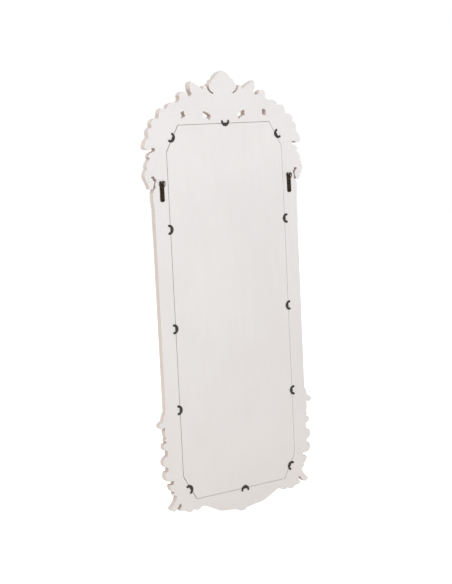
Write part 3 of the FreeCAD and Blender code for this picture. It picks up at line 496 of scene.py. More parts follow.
class Recipe(Graph):
    """A Geometry Nodes tree with named inputs for its sizes."""

    def __init__(self, name, **sizes):
        tree = bpy.data.node_groups.new(name, "GeometryNodeTree")
        super().__init__(tree)
        tree.interface.new_socket("Points", in_out="INPUT", socket_type="NodeSocketGeometry")
        self.sizes = {}
        for label, value in sizes.items():
            item = tree.interface.new_socket(label, in_out="INPUT", socket_type="NodeSocketFloat")
            self.sizes[item.identifier] = value
        tree.interface.new_socket("Pieces", in_out="OUTPUT", socket_type="NodeSocketGeometry")
        self.given = tree.nodes.new("NodeGroupInput")

    def size(self, label):
        return Signal(self, self.given.outputs[label])

    def finish(self, instances, material):
        """Ends the tree: real geometry with its material."""
        real = self.add("GeometryNodeRealizeInstances", instances)
        painted = self.add("GeometryNodeSetMaterial", real, True, material)
        self.add("NodeGroupOutput", painted)

    def mesh(self, name, places, turns=None):
        """The mesh that the recipe makes on the given places."""
        seed = bpy.data.meshes.new("places")
        seed.from_pydata(places, [], [])
        if turns:
            turn = seed.attributes.new("turn", "FLOAT", "POINT")
            turn.data.foreach_set("value", turns)
        draft = placed("places", seed)
        modifier = draft.modifiers.new("Recipe", "NODES")
        modifier.node_group = self.tree
        for key, value in self.sizes.items():
            modifier[key] = value
        return evaluated_mesh(draft, name)

    def vector(self, x, y, z):
        return self.add("ShaderNodeCombineXYZ", x, y, z)

    def box(self, x, y, z):
        return self.add("GeometryNodeMeshCube", self.vector(x, y, z), 2, 2, 2)

    def cone(self, top, bottom, deep, rings):
        return self.add("GeometryNodeMeshCone", Vertices=28, Side_Segments=rings, Fill_Segments=1,
                        Radius_Top=top, Radius_Bottom=bottom, Depth=deep)

    def moved(self, shape, place=None, turn=None):
        return self.add("GeometryNodeTransform", Geometry=shape, Translation=place, Rotation=turn)

    def joined(self, *shapes):
        node = self.tree.nodes.new("GeometryNodeJoinGeometry")
        for shape in reversed(shapes):
            self.tree.links.new(shape.socket, node.inputs[0])
        return Signal(self, node.outputs[0])

    def on_points(self, shape, turn=None):
        return self.add("GeometryNodeInstanceOnPoints", Points=self.size("Points"), Instance=shape,
                        Rotation=turn)


# The turn that makes a shape's top point out of the back
TO_BACK = (math.radians(-90), 0, 0)


def crescent_recipe(material):
    """A stamped crescent: a flat band with soft edges swept round a half circle, with round ends."""
    clip = Recipe("crescent_clip", Bend=15.1 * MM, Band=9.3 * MM, Swell=5.2 * MM, Thick=1.4 * MM)
    bend, band, thick = clip.size("Bend"), clip.size("Band"), clip.size("Thick")
    arc = clip.add("GeometryNodeCurveArc", mode="RADIUS", Resolution=96, Radius=bend,
                   Start_Angle=math.radians(-20), Sweep_Angle=math.radians(220))
    from_middle = abs(clip.add("GeometryNodeSplineParameter") - 0.5)
    past = (from_middle - 0.42) / 0.08
    taper = (1.0 - (past * past) * (past > 0.0)) ** 0.5
    swell = clip.size("Swell") * (1.0 - from_middle * 2.8).ramp(0.0, 1.0)
    inward = clip.add("ShaderNodeVectorMath", clip.add("GeometryNodeInputPosition"), operation="SCALE",
                      Scale=1.0 - swell * 0.5 / bend)
    arc = clip.add("GeometryNodeSetPosition", Geometry=arc, Position=inward)
    section = clip.add("GeometryNodeCurvePrimitiveQuadrilateral", band, thick, mode="RECTANGLE")
    section = clip.add("GeometryNodeFilletCurve", Curve=section, Radius=0.4 * MM)
    broad = taper * (swell / band + 1.0)
    swept = clip.add("GeometryNodeCurveToMesh", Curve=arc, Profile_Curve=section, Scale=broad + 0.001,
                     Fill_Caps=True)
    smooth = clip.add("GeometryNodeSetShadeSmooth", swept)
    upright = clip.moved(smooth, turn=TO_BACK)
    raised = clip.moved(upright, place=clip.vector(0.0, thick * 0.62, 0.0))
    turn = clip.add("GeometryNodeInputNamedAttribute", "turn", data_type="FLOAT")
    clip.finish(clip.on_points(raised, clip.vector(0.0, turn, 0.0)), material)
    return clip


def screw_recipe(name, material, **sizes):
    """A screw head that stands out of the back, domed in two cones, with a cross cut in it."""
    screw = Recipe(name, **sizes)
    radius, high = screw.size("Radius"), screw.size("High")
    waist, waist_high = radius * 0.93, high * 0.55
    skirt = screw.cone(waist, radius, waist_high, 1)
    crown = screw.cone(radius * 0.52, waist, high * 0.45, 2)
    crown = screw.moved(crown, place=screw.vector(0.0, 0.0, waist_high))
    # Only the crown is cut, since a cut through both cones fails where they touch.
    long, wide, deep = radius * 1.15, radius * 0.20, high * 1.1
    lift = screw.vector(0.0, 0.0, high * 0.95)
    for slot in (screw.box(long, wide, deep), screw.box(wide, long, deep)):
        crown = screw.add("GeometryNodeMeshBoolean", crown, screw.moved(slot, place=lift),
                          operation="DIFFERENCE", solver="EXACT")
    outward = screw.moved(screw.joined(skirt, crown), turn=TO_BACK)
    spin = screw.add("FunctionNodeRandomValue", data_type="FLOAT", Min=0.0, Max=math.pi, Seed=7, out=1)
    screw.finish(screw.on_points(outward, screw.vector(0.0, spin, 0.0)), material)
    return screw


def pearl_recipe(material):
    """A round bead on each place."""
    pearl = Recipe("pearl_row", Radius=1.9 * MM)
    ball = pearl.add("GeometryNodeMeshUVSphere", Segments=10, Rings=6, Radius=pearl.size("Radius"))
    smooth = pearl.add("GeometryNodeSetShadeSmooth", ball)
    pearl.finish(pearl.on_points(smooth), material)
    return pearl


# Clips, screws and hangers

CLIP_LEG = 1.0 * MM
CLIP_SCREW_LIFT = 1.45 * MM
STRAP_SCREW_LIFT = 0.35 * MM


def centre_of(node):
    low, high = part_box(node)
    return (low + high) / 2


clip_nodes = sorted(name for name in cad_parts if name.startswith("clip_") and name != "clip_screws")


def outward_of(node):
    """The direction from the panel out to the frame at a clip."""
    side = ("right" in node) - ("left" in node)
    level = ("top" in node) - ("bottom" in node)
    if side and level:
        return Vector((side * CORNER_TALL / CORNER_SLOPE, 0, level * CORNER_WIDE / CORNER_SLOPE))
    return Vector((side, 0, level))


def loose_middles(node):
    """The middle of each loose piece of a CAD node, on the back plane."""
    cut = merged_copy(node)
    middles = []
    for group in touching(cut.verts, lambda vert: [edge.other_vert(vert) for edge in vert.link_edges]):
        xs, zs = [vert.co.x for vert in group], [vert.co.z for vert in group]
        middles.append(Vector(((min(xs) + max(xs)) / 2, 0, (min(zs) + max(zs)) / 2)))
    cut.free()
    return sorted(middles, key=lambda place: (round(place.z, 4), place.x))


def screw_heads(name, places, material, node, slot, **sizes):
    """Screw heads in place of the screws of a CAD node."""
    mesh = screw_recipe(name, material, **sizes).mesh(name, places)
    piece(mesh, [material], [node])


clip_screw_places = loose_middles("clip_screws")
clip_places, clip_turns = [], []
for clip_node in clip_nodes:
    outward = outward_of(clip_node)
    first, second = sorted(clip_screw_places, key=lambda place: (place - centre_of(clip_node)).length)[:2]
    clip_places.append((first + second) / 2 - outward * CLIP_LEG)
    clip_turns.append(math.atan2(outward.x, outward.z))
for screw_place in clip_screw_places:
    screw_place.y = CLIP_SCREW_LIFT

clip_mesh = crescent_recipe(clip_steel).mesh("crescent_clips", clip_places, clip_turns)
piece(clip_mesh, [clip_steel], clip_nodes)
screw_heads("clip_screw_heads", clip_screw_places, clip_screw_steel, "clip_screws", "dark_steel",
            Radius=3.2 * MM, High=1.5 * MM)


def strap_screw_places(node):
    """The middles of the three countersunk holes in a strap, from its screws' box."""
    low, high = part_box(node)
    radius = (high.x - low.x) / 2
    top, bottom = high.z - radius, low.z + radius
    heights = (top, (top + bottom) / 2, bottom)
    return [Vector((centre_of(node).x, STRAP_SCREW_LIFT, height)) for height in heights]


for strap in ("left_strap", "right_strap"):
    strap_mesh = softened(strap, strap.replace("strap", "hanger_strap"), STRAP_EDGE, 40.0)
    piece(strap_mesh, [strap_bronze], [strap])
    screw_heads(f"{strap}_screw_heads", strap_screw_places(f"{strap}_screws"), strap_screw_steel,
                f"{strap}_screws", "screw_bronze", Radius=3.25 * MM, High=0.8 * MM)


# Rings

RING_HALF_WIDE = 12.8 * MM
RING_CORNER = 2.2 * MM
RING_LOW = -9.0 * MM
RING_WIRE = 1.5 * MM


def arc_points(centre, radius, first, last, count):
    angles = [math.radians(first + (last - first) * i / count) for i in range(count + 1)]
    return [(centre[0] + radius * math.cos(a), centre[1] + radius * math.sin(a)) for a in angles]


def ring(side_name):
    """A D of round wire with its bar through the strap's eye."""
    node = f"{side_name}_ring"
    low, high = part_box(node)
    x = (low.x + high.x) / 2
    y = (low.y + high.y) / 2
    corner = RING_HALF_WIDE - RING_CORNER
    path = arc_points((corner, -RING_CORNER), RING_CORNER, 90, 0, 8)
    path += arc_points((0, RING_LOW), RING_HALF_WIDE, 0, -180, 40)
    path += arc_points((-corner, -RING_CORNER), RING_CORNER, 180, 90, 8)
    line = bpy.data.curves.new("ring_path", "CURVE")
    line.dimensions = "3D"
    line.bevel_depth = RING_WIRE
    line.bevel_resolution = 6
    spline = line.splines.new("POLY")
    spline.points.add(len(path) - 1)
    for point, (across, up) in zip(spline.points, path):
        point.co = (x + across, y, up, 1.0)
    spline.use_cyclic_u = True
    mesh = evaluated_mesh(placed("draft", line), f"{node}_wire")
    mesh.shade_smooth()
    piece(mesh, [ring_brass], [node], body=f"{side_name}_hanging_ring")


ring("left")
ring("right")


# Mouldings

def octagon(inset):
    """The panel's corners moved in by inset, clockwise from the top left, seen from the front."""
    x, z = HALF_WIDE - inset, HALF_TALL - inset
    x_cut = HALF_WIDE - CORNER_WIDE - inset * (CORNER_SLOPE - CORNER_WIDE) / CORNER_TALL
    z_cut = HALF_TALL - CORNER_TALL - inset * (CORNER_SLOPE - CORNER_TALL) / CORNER_WIDE
    corners = [(-x_cut, z), (x_cut, z), (x, z_cut), (x, -z_cut),
               (x_cut, -z), (-x_cut, -z), (-x, -z_cut), (-x, z_cut)]
    return [Vector((across, FRONT, PANEL_MIDDLE + up)) for across, up in corners]


def rounded(section, steps=3):
    """A section in metres, whose marked corners are cut into short curves."""
    points = []
    for index, (along, high, soft) in enumerate(section):
        if not soft:
            points.append((along, high))
            continue
        before, here, after = section[index - 1:index + 2]
        for step in range(steps + 1):
            t = step / steps
            a = [before[k] + (here[k] - before[k]) * (0.5 + t / 2) for k in (0, 1)]
            b = [here[k] + (after[k] - here[k]) * (t / 2) for k in (0, 1)]
            points.append(tuple(a[k] + (b[k] - a[k]) * t for k in (0, 1)))
    return [(along * MM, high * MM) for along, high in points]


# Each moulding's section in millimetres: how far out from its inner edge, how high, and 1 where it is round.
SIGHT_SECTION = [(0, 0, 0), (0, 2.0, 0), (1.0, 2.9, 1), (1.6, 2.0, 0), (5.0, 2.2, 1), (5.4, 5.2, 0),
                 (5.9, 7.9, 1), (8.6, 8.0, 1), (11.2, 7.6, 1), (11.6, 4.9, 0), (12.4, 4.6, 0),
                 (14.2, 4.3, 1), (15.2, 2.4, 0), (16.0, 1.9, 0), (16.0, 0, 0)]
RAIL_SECTION = [(0, 0, 0), (0, 2.2, 0), (1.4, 3.2, 1), (2.6, 2.4, 0), (3.2, 4.6, 0), (3.8, 7.3, 1),
                (6.5, 7.6, 1), (9.2, 7.3, 1), (9.8, 4.6, 0), (10.4, 2.4, 0), (11.6, 3.2, 1),
                (13.0, 2.2, 0), (13.0, 0, 0)]
SIGHT_PLACES = ["top", "corner_top_right", "right", "corner_bottom_right", "bottom", "corner_bottom_left",
                "left", "corner_top_left"]
PEARL_INSET = 3.2 * MM
PEARL_STEP = 4.6 * MM
PEARL_HIGH = 3.0 * MM
RAIL_TAPER = 4.0 * MM
RAIL_END_SHARE = 0.25


def strip(node, rings):
    """A moulding through rings of points, closed at both ends, in place of a CAD node."""
    cut = bmesh.new()
    rows = [[cut.verts.new(point) for point in ring_points] for ring_points in rings]
    for first, second in zip(rows, rows[1:]):
        for i in range(len(first)):
            j = (i + 1) % len(first)
            cut.faces.new((first[i], first[j], second[j], second[i]))
    cut.faces.new(rows[0])
    cut.faces.new(rows[-1])
    bmesh.ops.recalc_face_normals(cut, faces=cut.faces)
    mesh = finished_mesh(cut, f"{node}_profile")
    mesh.set_sharp_from_angle(angle=math.radians(34))
    piece(mesh, [moulding_paint], [node])


sight_profile = rounded(SIGHT_SECTION)
for index, place_name in enumerate(SIGHT_PLACES):
    ends = [[octagon(SIGHT_LAP - along)[corner] + Vector((0, -high, 0)) for along, high in sight_profile]
            for corner in (index, (index + 1) % len(SIGHT_PLACES))]
    strip(f"sight_moulding_{place_name}", ends)

pearl_line = octagon(SIGHT_LAP - PEARL_INSET)
pearl_places = []
for start, end in zip(pearl_line, pearl_line[1:] + pearl_line[:1]):
    count = round((end - start).length / PEARL_STEP)
    pearl_places += [start.lerp(end, i / count) + Vector((0, -PEARL_HIGH, 0)) for i in range(count)]
piece(pearl_recipe(moulding_paint).mesh("pearl_row", pearl_places), [moulding_paint], [])

rail_profile = rounded(RAIL_SECTION)
rail_low, rail_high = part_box("right_rail_moulding")
rail_steps = [(rail_low.z, RAIL_END_SHARE), (rail_low.z + RAIL_TAPER, 1.0),
              (rail_high.z - RAIL_TAPER, 1.0), (rail_high.z, RAIL_END_SHARE)]
for side, side_name in ((1, "right"), (-1, "left")):
    rings = [[Vector((side * (rail_low.x + along), FRONT - high * share, height))
              for along, high in rail_profile] for height, share in rail_steps]
    strip(f"{side_name}_rail_moulding", rings)


# Carving

CARVE_SPACING = 1.7 * MM
ROW_SPACING = CARVE_SPACING * 0.87
EDGE_ROUNDINGS = (3.0 * MM, 6.5 * MM)
SKIRT_SUNK = 0.1 * MM
# Shares of a leaf lobe's length, and the flutes' share of its height
TIP_FROM = 0.78
TIP_LONG = 0.24
ROOT_LONG = 0.12
FLUTE_DEEP = 0.24
# For the glaze in the hollows
HOLLOW_PASSES = 5
HOLLOW_GAIN = 9
LOW_LEVEL = 0.42


def ground_loops(node):
    """The closed outlines of a carved piece where it lies on its board."""
    cut = merged_copy(node)
    under = {face for face in cut.faces
             if face.normal.y > 0.9 and all(vert.co.y > FRONT - 1e-5 for vert in face.verts)}
    links = {}
    for edge in cut.edges:
        if sum(face in under for face in edge.link_faces) == 1:
            for one, other in (edge.verts, reversed(edge.verts)):
                links.setdefault(one, []).append(other)
    loops = []
    while links:
        start = next(iter(links))
        loop, last, here = [], None, start
        while here in links:
            loop.append((here.co.x, here.co.z))
            ahead = [vert for vert in links.pop(here)
                     if vert is not last and (vert in links or vert is start)]
            if not ahead:
                break
            last, here = here, ahead[0]
        loops.append(np.array(loop))
    cut.free()
    return loops


def divided(loop, spacing):
    """A loop with its long sides cut into short ones."""
    points = []
    for here, ahead in zip(loop, np.roll(loop, -1, axis=0)):
        count = max(1, math.ceil(np.linalg.norm(ahead - here) / spacing))
        points += [here + (ahead - here) * i / count for i in range(count)]
    return np.array(points)


def enclosed(points, loops):
    """Which points lie inside the outlines."""
    inside = np.zeros(len(points), bool)
    for loop in loops:
        for (x0, z0), (x1, z1) in zip(loop, np.roll(loop, -1, axis=0)):
            spans = (z0 > points[:, 1]) != (z1 > points[:, 1])
            if z1 != z0:
                inside ^= spans & (points[:, 0] < (x1 - x0) * (points[:, 1] - z0) / (z1 - z0) + x0)
    return inside


def nearest(points, line, closed=True):
    """Each point's distance to a line, and how far along the line its nearest place is, from 0 to 1."""
    starts = line if closed else line[:-1]
    ends = np.roll(line, -1, axis=0) if closed else line[1:]
    best = np.full(len(points), 1e9)
    share = np.zeros(len(points))
    for index, (start, end) in enumerate(zip(starts, ends)):
        side = end - start
        t = np.clip((points - start) @ side / max(side @ side, 1e-18), 0, 1)
        gap = np.linalg.norm(points - start - t[:, None] * side, axis=1)
        closer = gap < best
        best[closer] = gap[closer]
        share[closer] = (index + t[closer]) / len(starts)
    return best, share


def edge_gap(points, loops):
    """Each point's distance to the nearest outline."""
    return np.min([nearest(points, loop)[0] for loop in loops], axis=0)


def half_round(distance):
    """The height of a half round: 1 in its middle, and 0 at a distance of 1 from it."""
    return np.sqrt(np.clip(1 - distance ** 2, 0, 1))


class Relief:
    """The carved face of one CAD piece: a close net of points with a height above the board at each.

    A piece that isn't one of a pair has its lobes on both sides of the middle. The sizes are in mm."""

    def __init__(self, node, place, lobes, low=4.0, high=11.0, edge=1.2):
        self.node, self.place = node, place
        self.paired = node.startswith("right_")
        self.low, self.high, self.edge = low * MM, high * MM, edge * MM
        loops = [divided(loop, CARVE_SPACING) for loop in ground_loops(node)]
        corners = np.concatenate(loops)
        low_corner, high_corner = corners.min(0), corners.max(0)
        xs = np.arange(low_corner[0], high_corner[0], CARVE_SPACING)
        zs = np.arange(low_corner[1], high_corner[1], ROW_SPACING)
        grid = np.array([(x + (row % 2) * CARVE_SPACING / 2, z) for row, z in enumerate(zs) for x in xs])
        grid = grid[enclosed(grid, loops)]
        grid = grid[edge_gap(grid, loops) > CARVE_SPACING * 0.5]
        edges, count = [], 0
        for loop in loops:
            edges += [(count + i, count + (i + 1) % len(loop)) for i in range(len(loop))]
            count += len(loop)
        net = np.concatenate([corners, grid])
        found = delaunay_2d_cdt([Vector(point) for point in net], edges, [], 1, 1e-7)
        self.points = np.array([tuple(point) for point in found[0]])
        faces = np.array([face for face in found[2] if len(face) == 3])
        middles = self.points[faces].mean(1)
        self.faces = faces[enclosed(middles, loops)]
        self.gap = edge_gap(self.points, loops)
        self.height = np.zeros(len(self.points))
        for root_x, root_up, tip_x, tip_up, *size, bend, flutes in lobes:
            root, tip = self.at(root_x, root_up), self.at(tip_x, tip_up)
            self.petal(root, tip, *size, bend, flutes)
            if not self.paired and (tip_x or root_x):
                self.petal((-root[0], root[1]), (-tip[0], tip[1]), *size, -bend, flutes)

    def at(self, across, up):
        """A place on the front, given in thousandths of the part of the frame that the piece lies on."""
        return self.place(across / 1000, up / 1000)

    def petal(self, root, tip, wide, high, bend, flutes):
        """A fluted leaf lobe from its root to its tip, bowed sideways by bend."""
        root, tip = np.array(root), np.array(tip)
        along = tip - root
        length = np.linalg.norm(along)
        along = along / length
        beside = np.array([-along[1], along[0]])
        s = (self.points - root) @ along / length
        t = (self.points - root) @ beside - bend * length * 4 * s * (1 - s)
        full = np.sin(np.pi * np.clip(0.14 + 0.76 * s, 0, 1))
        tip_end = half_round(np.clip(s - TIP_FROM, 0, None) / TIP_LONG)
        root_end = half_round(np.clip(-s, 0, None) / ROOT_LONG)
        half = wide * MM / 2 * np.maximum(full, 0.25) * tip_end * root_end
        q = np.where(half > 1e-6, t / np.maximum(half, 1e-6), 2.0)
        dome = np.clip(1 - q * q, 0, 1) ** 0.42
        groove = 0.5 + 0.5 * np.cos(np.pi * flutes * (q + 1))
        cut = 1 - FLUTE_DEEP * groove * np.clip(s * 3, 0, 1)
        rise = 0.62 + 0.38 * np.sin(np.pi * np.clip(0.05 + 0.72 * s, 0, 1))
        self.height = np.maximum(self.height, high * MM * dome * cut * rise)

    def rib(self, places, wide, high, thin):
        self.ridge([self.at(*place) for place in places], wide, high, thin)

    def ridge(self, line, wide, high, thin):
        """A rounded ridge along a line, that narrows to the share thin at its end."""
        gap, share = nearest(self.points, np.array(line), closed=False)
        half = wide * MM / 2 * (1 - (1 - thin) * share)
        lift = high * MM * (0.75 + 0.25 * (1 - share)) * half_round(gap / half)
        self.height = np.maximum(self.height, lift)

    def volute(self, place, radius, start, turns, wide, high, hand=1):
        """A ridge that winds into a scroll's eye, with a button in the middle."""
        centre = self.at(*place)
        angles = np.linspace(0, turns * 2 * math.pi, 48)
        reach = radius * MM * np.exp(-0.21 * angles)
        turned = math.radians(start) + hand * angles
        line = np.stack([centre[0] + reach * np.cos(turned), centre[1] + reach * np.sin(turned)], 1)
        self.ridge(line, wide, high, 0.45)
        gap = np.linalg.norm(self.points - np.array(centre), axis=1) / (radius * MM * 0.24)
        self.height = np.maximum(self.height, high * MM * 1.05 * half_round(gap))

    def mesh(self, name, side):
        """The carved mesh, rounded towards its edge, with a skirt into the board. Side -1 mirrors it."""
        near, far = [half_round(1 - np.clip(self.gap / reach, 0, 1)) for reach in EDGE_ROUNDINGS]
        floor = self.edge + (self.low - self.edge) * near
        cap = self.edge + (self.high - self.edge) * far
        height = np.minimum(np.maximum(self.height, floor), cap)
        cut = bmesh.new()
        verts = [cut.verts.new((side * x, FRONT - h, z)) for (x, z), h in zip(self.points, height)]
        for a, b, c in self.faces:
            cut.faces.new((verts[a], verts[b], verts[c]))
        bmesh.ops.delete(cut, geom=[v for v in cut.verts if not v.link_faces], context="VERTS")
        foot = {}
        for loop in [edge.link_loops[0] for edge in cut.edges if edge.is_boundary]:
            first, second = loop.link_loop_next.vert, loop.vert
            for vert in (first, second):
                if vert not in foot:
                    foot[vert] = cut.verts.new((vert.co.x, FRONT + SKIRT_SUNK, vert.co.z))
            cut.faces.new((first, second, foot[second], foot[first]))
        bmesh.ops.recalc_face_normals(cut, faces=cut.faces)
        if sum(face.normal.y * face.calc_area() for face in cut.faces) > 0:
            bmesh.ops.reverse_faces(cut, faces=cut.faces)
        mesh = finished_mesh(cut, name)
        mesh.shade_smooth()
        self.mark_levels(mesh)
        return mesh

    def finish(self):
        """The carved piece, and its mirrored twin where the CAD piece is the right one of a pair."""
        twins = [(self.node, 1)]
        if self.paired:
            twins.append((self.node.replace("right_", "left_"), -1))
        for node, side in twins:
            piece(self.mesh(f"{node}_carved", side), [carved_paint], [node])

    def mark_levels(self, mesh):
        """Keeps each point's height and how deep it lies between its neighbours in a map for the paint."""
        level = np.clip((FRONT - np.array([vert.co.y for vert in mesh.vertices])) / self.high, 0, 1)
        first, second = np.array([edge.vertices[:] for edge in mesh.edges]).T
        around = level.copy()
        for _ in range(HOLLOW_PASSES):
            total, number = around.copy(), np.ones(len(level))
            for a, b in ((first, second), (second, first)):
                np.add.at(total, a, around[b])
                np.add.at(number, a, 1)
            around = total / number
        hollow = np.clip((around - level) * HOLLOW_GAIN + 0.25 * (level < LOW_LEVEL), 0, 1)
        loops = [loop.vertex_index for loop in mesh.loops]
        layer = mesh.uv_layers.new(name="relief")
        layer.data.foreach_set("uv", np.stack([level[loops], hollow[loops]], 1).ravel())


# Places on the front, given as shares of the part of the frame that each is named after

def crest(across, up):
    span = CREST_TOP - PANEL_TOP if up > 0 else PANEL_TOP - CREST_JOINT
    return across * FRAME_HALF, PANEL_TOP + up * span


def base(across, up):
    span = BASE_JOINT - PANEL_LOW if up > 0 else PANEL_LOW - APRON_LOW
    return across * FRAME_HALF, PANEL_LOW + up * span


def wing(across, down):
    return NECK_X + across * WING_REACH, CREST_JOINT - down * WING_LONG


def side_scallops(across, up):
    return FRAME_HALF + across * SIDE_REACH, BASE_JOINT + up * SIDE_LONG


# Leaf lobes of each carved piece: root and tip in thousandths, width and height in mm, bow, flutes
SHELL = [
    (0, 380, 0, 1000, 26, 15.0, 0.0, 3),
    (12, 380, 64, 930, 20, 13.6, -0.02, 3),
    (20, 370, 120, 840, 21, 12.4, -0.03, 3),
    (26, 360, 168, 750, 19, 11.2, -0.04, 3),
    (30, 340, 152, 630, 17, 9.8, -0.04, 3),
    (20, 320, 100, 500, 12, 8.6, -0.04, 2),
]
CREST_LEAF = [
    (110, 370, 246, 715, 26, 10.8, 0.08, 3),
    (145, 380, 330, 705, 27, 11.6, 0.07, 3),
    (170, 380, 428, 785, 30, 13.0, 0.05, 3),
    (200, 370, 440, 650, 26, 12.0, 0.00, 3),
    (225, 360, 412, 555, 20, 11.0, -0.05, 2),
    (190, 350, 340, 440, 16, 10.0, -0.06, 2),
]
CREST_SCROLL = [
    (60, 150, 130, 300, 20, 8.4, 0.05, 3),
    (100, 200, 235, 320, 22, 8.8, 0.08, 3),
    (310, 270, 350, 400, 18, 8.6, 0.05, 2),
    (330, 260, 440, 520, 26, 11.0, 0.06, 3),
    (350, 200, 495, 370, 24, 10.0, 0.04, 3),
    (360, 140, 520, 215, 22, 9.2, 0.0, 3),
    (360, 100, 540, 90, 18, 8.6, -0.04, 3),
    (180, 60, 70, 85, 14, 7.4, 0.0, 2),
]
SHOULDER = [
    (570, 330, 500, 535, 18, 8.6, -0.05, 2),
    (575, 310, 556, 612, 28, 10.4, -0.03, 3),
    (600, 290, 622, 440, 20, 8.8, 0.02, 2),
    (610, 260, 705, 400, 28, 11.0, 0.03, 3),
    (640, 190, 775, 305, 22, 9.4, 0.03, 2),
    (650, 140, 858, 285, 30, 11.0, 0.04, 3),
    (690, 60, 890, 155, 22, 9.6, 0.04, 2),
    (700, 20, 972, 85, 31, 11.0, 0.05, 3),
    (740, -80, 980, -40, 22, 9.6, 0.04, 2),
    (770, -140, 1026, -190, 30, 11.0, 0.05, 3),
    (800, -260, 1028, -480, 24, 9.8, 0.05, 2),
    (830, -360, 1072, -830, 34, 11.0, 0.06, 3),
    (840, -500, 985, -960, 22, 9.0, 0.02, 2),
    (610, 160, 620, 20, 14, 7.0, 0.0, 2),
]
WING = [
    (-120, 320, 330, 110, 17, 9.0, 0.06, 2),
    (-50, 360, 575, 190, 18, 10.0, 0.08, 3),
    (20, 440, 790, 410, 27, 11.0, 0.10, 3),
    (180, 500, 930, 640, 28, 11.0, 0.10, 3),
    (400, 560, 780, 830, 20, 9.6, 0.08, 2),
    (520, 620, 450, 965, 20, 10.4, -0.06, 3),
    (50, 520, 60, 640, 12, 7.0, 0.0, 2),
]
SIDE = [
    (-700, 50, 300, 45, 17, 9.0, 0.0, 2),
    (-720, 80, 480, 95, 22, 10.2, 0.03, 3),
    (-720, 150, 100, 175, 14, 8.4, 0.03, 2),
    (-700, 190, 580, 285, 30, 11.0, 0.05, 3),
    (-620, 290, 60, 360, 16, 8.6, 0.04, 2),
    (-560, 340, 20, 430, 15, 8.4, 0.04, 2),
    (-560, 390, 480, 500, 24, 10.6, 0.05, 3),
    (-400, 480, 160, 590, 14, 8.8, 0.04, 2),
    (-320, 560, 180, 700, 17, 9.4, 0.05, 3),
    (-260, 640, 850, 815, 22, 10.8, 0.07, 3),
    (-200, 700, 240, 920, 17, 9.4, 0.03, 3),
    (-200, 760, -20, 965, 12, 7.8, 0.0, 2),
]
FOOT = [
    (850, 360, 972, 800, 19, 9.6, -0.04, 3),
    (855, 220, 940, 590, 16, 8.6, -0.04, 2),
    (860, 100, 925, 380, 16, 9.0, -0.04, 2),
    (835, 80, 965, -250, 22, 11.0, 0.04, 3),
    (830, 50, 905, -200, 14, 8.8, -0.03, 2),
    (850, 140, 760, -10, 18, 9.4, 0.0, 3),
    (850, 300, 770, 120, 14, 7.8, 0.0, 2),
]
APRON = [
    (540, -200, 842, -250, 17, 9.0, -0.03, 3),
    (530, -220, 845, -370, 16, 9.2, -0.04, 2),
    (520, -220, 745, -475, 21, 11.0, -0.04, 3),
    (480, -240, 640, -455, 19, 9.8, -0.02, 3),
    (450, -260, 545, -385, 14, 8.4, 0.0, 2),
    (440, -220, 455, -480, 18, 9.4, 0.03, 3),
    (430, -240, 340, -700, 22, 11.0, 0.05, 3),
    (380, -240, 210, -780, 24, 10.4, 0.06, 3),
    (330, -220, 165, -520, 18, 9.0, 0.05, 3),
    (300, -180, 170, -250, 14, 7.8, 0.04, 2),
]
APRON_SHELL = [
    (0, -220, 0, -975, 21, 11.0, 0.0, 3),
    (12, -220, 70, -900, 17, 10.2, 0.03, 3),
    (20, -210, 118, -680, 17, 9.2, 0.04, 3),
    (20, -200, 125, -420, 14, 8.2, 0.04, 2),
    (15, -170, 92, -200, 10, 7.2, 0.02, 2),
]


apron_shell = Relief("apron_shell", base, APRON_SHELL)
wing_leaf = Relief("right_wing_leaf", wing, WING)
crest_leaf = Relief("right_crest_leaf", crest, CREST_LEAF, low=7.0, high=13.0, edge=8.5)

shell = Relief("crest_shell", crest, SHELL, low=6.0, high=15.0, edge=8.0)
shell.rib([(-55, 360), (-30, 345), (30, 345), (55, 360)], 9, 9.5, 1.0)

crest_scroll = Relief("right_crest_scroll", crest, CREST_SCROLL)
crest_scroll.volute((375, 185), 13, 200, 1.4, 7.5, 9.5, -1)
crest_scroll.rib([(335, 200), (300, 300), (220, 285), (140, 200), (90, 100)], 8, 9.0, 0.5)

shoulder = Relief("right_shoulder_leaf", crest, SHOULDER, edge=4.0)
shoulder.rib([(585, 360), (620, 220), (700, 0), (790, -280), (840, -550), (875, -850)], 11, 10.5, 0.45)

side_leaf = Relief("right_side_leaf", side_scallops, SIDE)
side_leaf.rib([(-780, 40), (-740, 200), (-620, 380), (-420, 560), (-270, 760), (-140, 960)], 8, 9.5, 0.4)

foot_leaf = Relief("right_foot_leaf", base, FOOT)
foot_leaf.volute((862, 160), 9, 60, 1.2, 5.5, 9.5)

apron_leaf = Relief("right_apron_leaf", base, APRON)
apron_leaf.volute((475, -235), 9, 90, 1.2, 5.5, 9.5)

for relief in (shell, apron_shell, crest_leaf, crest_scroll, shoulder, wing_leaf, side_leaf, foot_leaf,
               apron_leaf):
    relief.finish()


# Studio

FLOOR_REACH = 14.0
FLOOR_GREY = (0.86, 0.86, 0.86, 1.0)
FLOOR_GLOW = 0.62
AMBIENT = 0.62


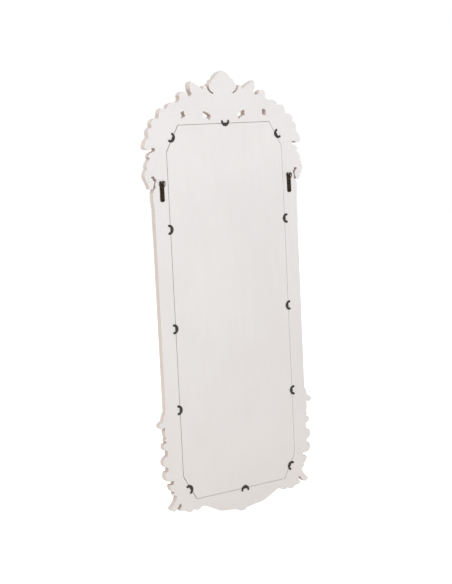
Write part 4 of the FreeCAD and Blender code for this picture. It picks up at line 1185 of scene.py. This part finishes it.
def area_lamp(name, place, target, size, power, colour=(1.0, 1.0, 1.0)):
    """A square lamp that points at its target."""
    data = bpy.data.lights.new(name, "AREA")
    data.shape = "SQUARE"
    data.size = size
    data.energy = power
    data.color = colour
    lamp = placed(name, data)
    lamp.location = place
    lamp.rotation_euler = (Vector(target) - Vector(place)).to_track_quat("-Z", "Y").to_euler()


def studio_floor():
    """A pale floor just under the mirror, white where the camera sees it away from the shadow."""
    mesh = bpy.data.meshes.new("studio_floor")
    height = cad_low.z - 1.0 * MM
    corners = [(x * FLOOR_REACH, y * FLOOR_REACH, height) for x, y in ((-1, -1), (1, -1), (1, 1), (-1, 1))]
    mesh.from_pydata(corners, [], [(0, 1, 2, 3)])
    pale = Finish("pale_floor")
    plain = pale.add("ShaderNodeBsdfDiffuse", Color=FLOOR_GREY)
    glow = pale.add("ShaderNodeEmission", Strength=pale.seen_directly() * FLOOR_GLOW)
    pale.add("ShaderNodeOutputMaterial", pale.add("ShaderNodeAddShader", plain, glow))
    mesh.materials.append(pale.material)
    obj = placed("studio_floor", mesh)


def studio_world():
    """White to the camera and in reflections, and a plain soft light everywhere else."""
    world = bpy.data.worlds.new("studio")
    world.use_nodes = True
    world.node_tree.nodes.clear()
    sky = Graph(world.node_tree)
    strength = sky.seen_directly() * (1.0 - AMBIENT) + AMBIENT
    white = sky.add("ShaderNodeBackground", Color=(1.0, 1.0, 1.0, 1.0), Strength=strength)
    sky.add("ShaderNodeOutputWorld", white)
    bpy.context.scene.world = world


studio_floor()
studio_world()
area_lamp("key_lamp", (1.2, 4.0, 4.0), (0.15, 0, 0.1), size=2.8, power=116)
area_lamp("side_lamp", (4.6, 2.2, 1.0), (0, 0, -0.5), size=2.5, power=18, colour=(1.0, 0.97, 0.94))
area_lamp("front_lamp", (1.6, -4.8, 2.6), (0, 0, -0.4), size=3.0, power=85)

camera_data = bpy.data.cameras.new("camera")
camera_data.sensor_width = 36.0
camera_data.lens = CAMERA_LENS
camera = placed("camera", camera_data)
turn = Matrix((CAMERA_RIGHT, CAMERA_UP, CAMERA_BACK)).transposed()
camera.matrix_world = Matrix.Translation(CAMERA_PLACE) @ turn.to_4x4()
bpy.context.scene.camera = camera
bpy.context.scene.view_settings.view_transform = "Standard"
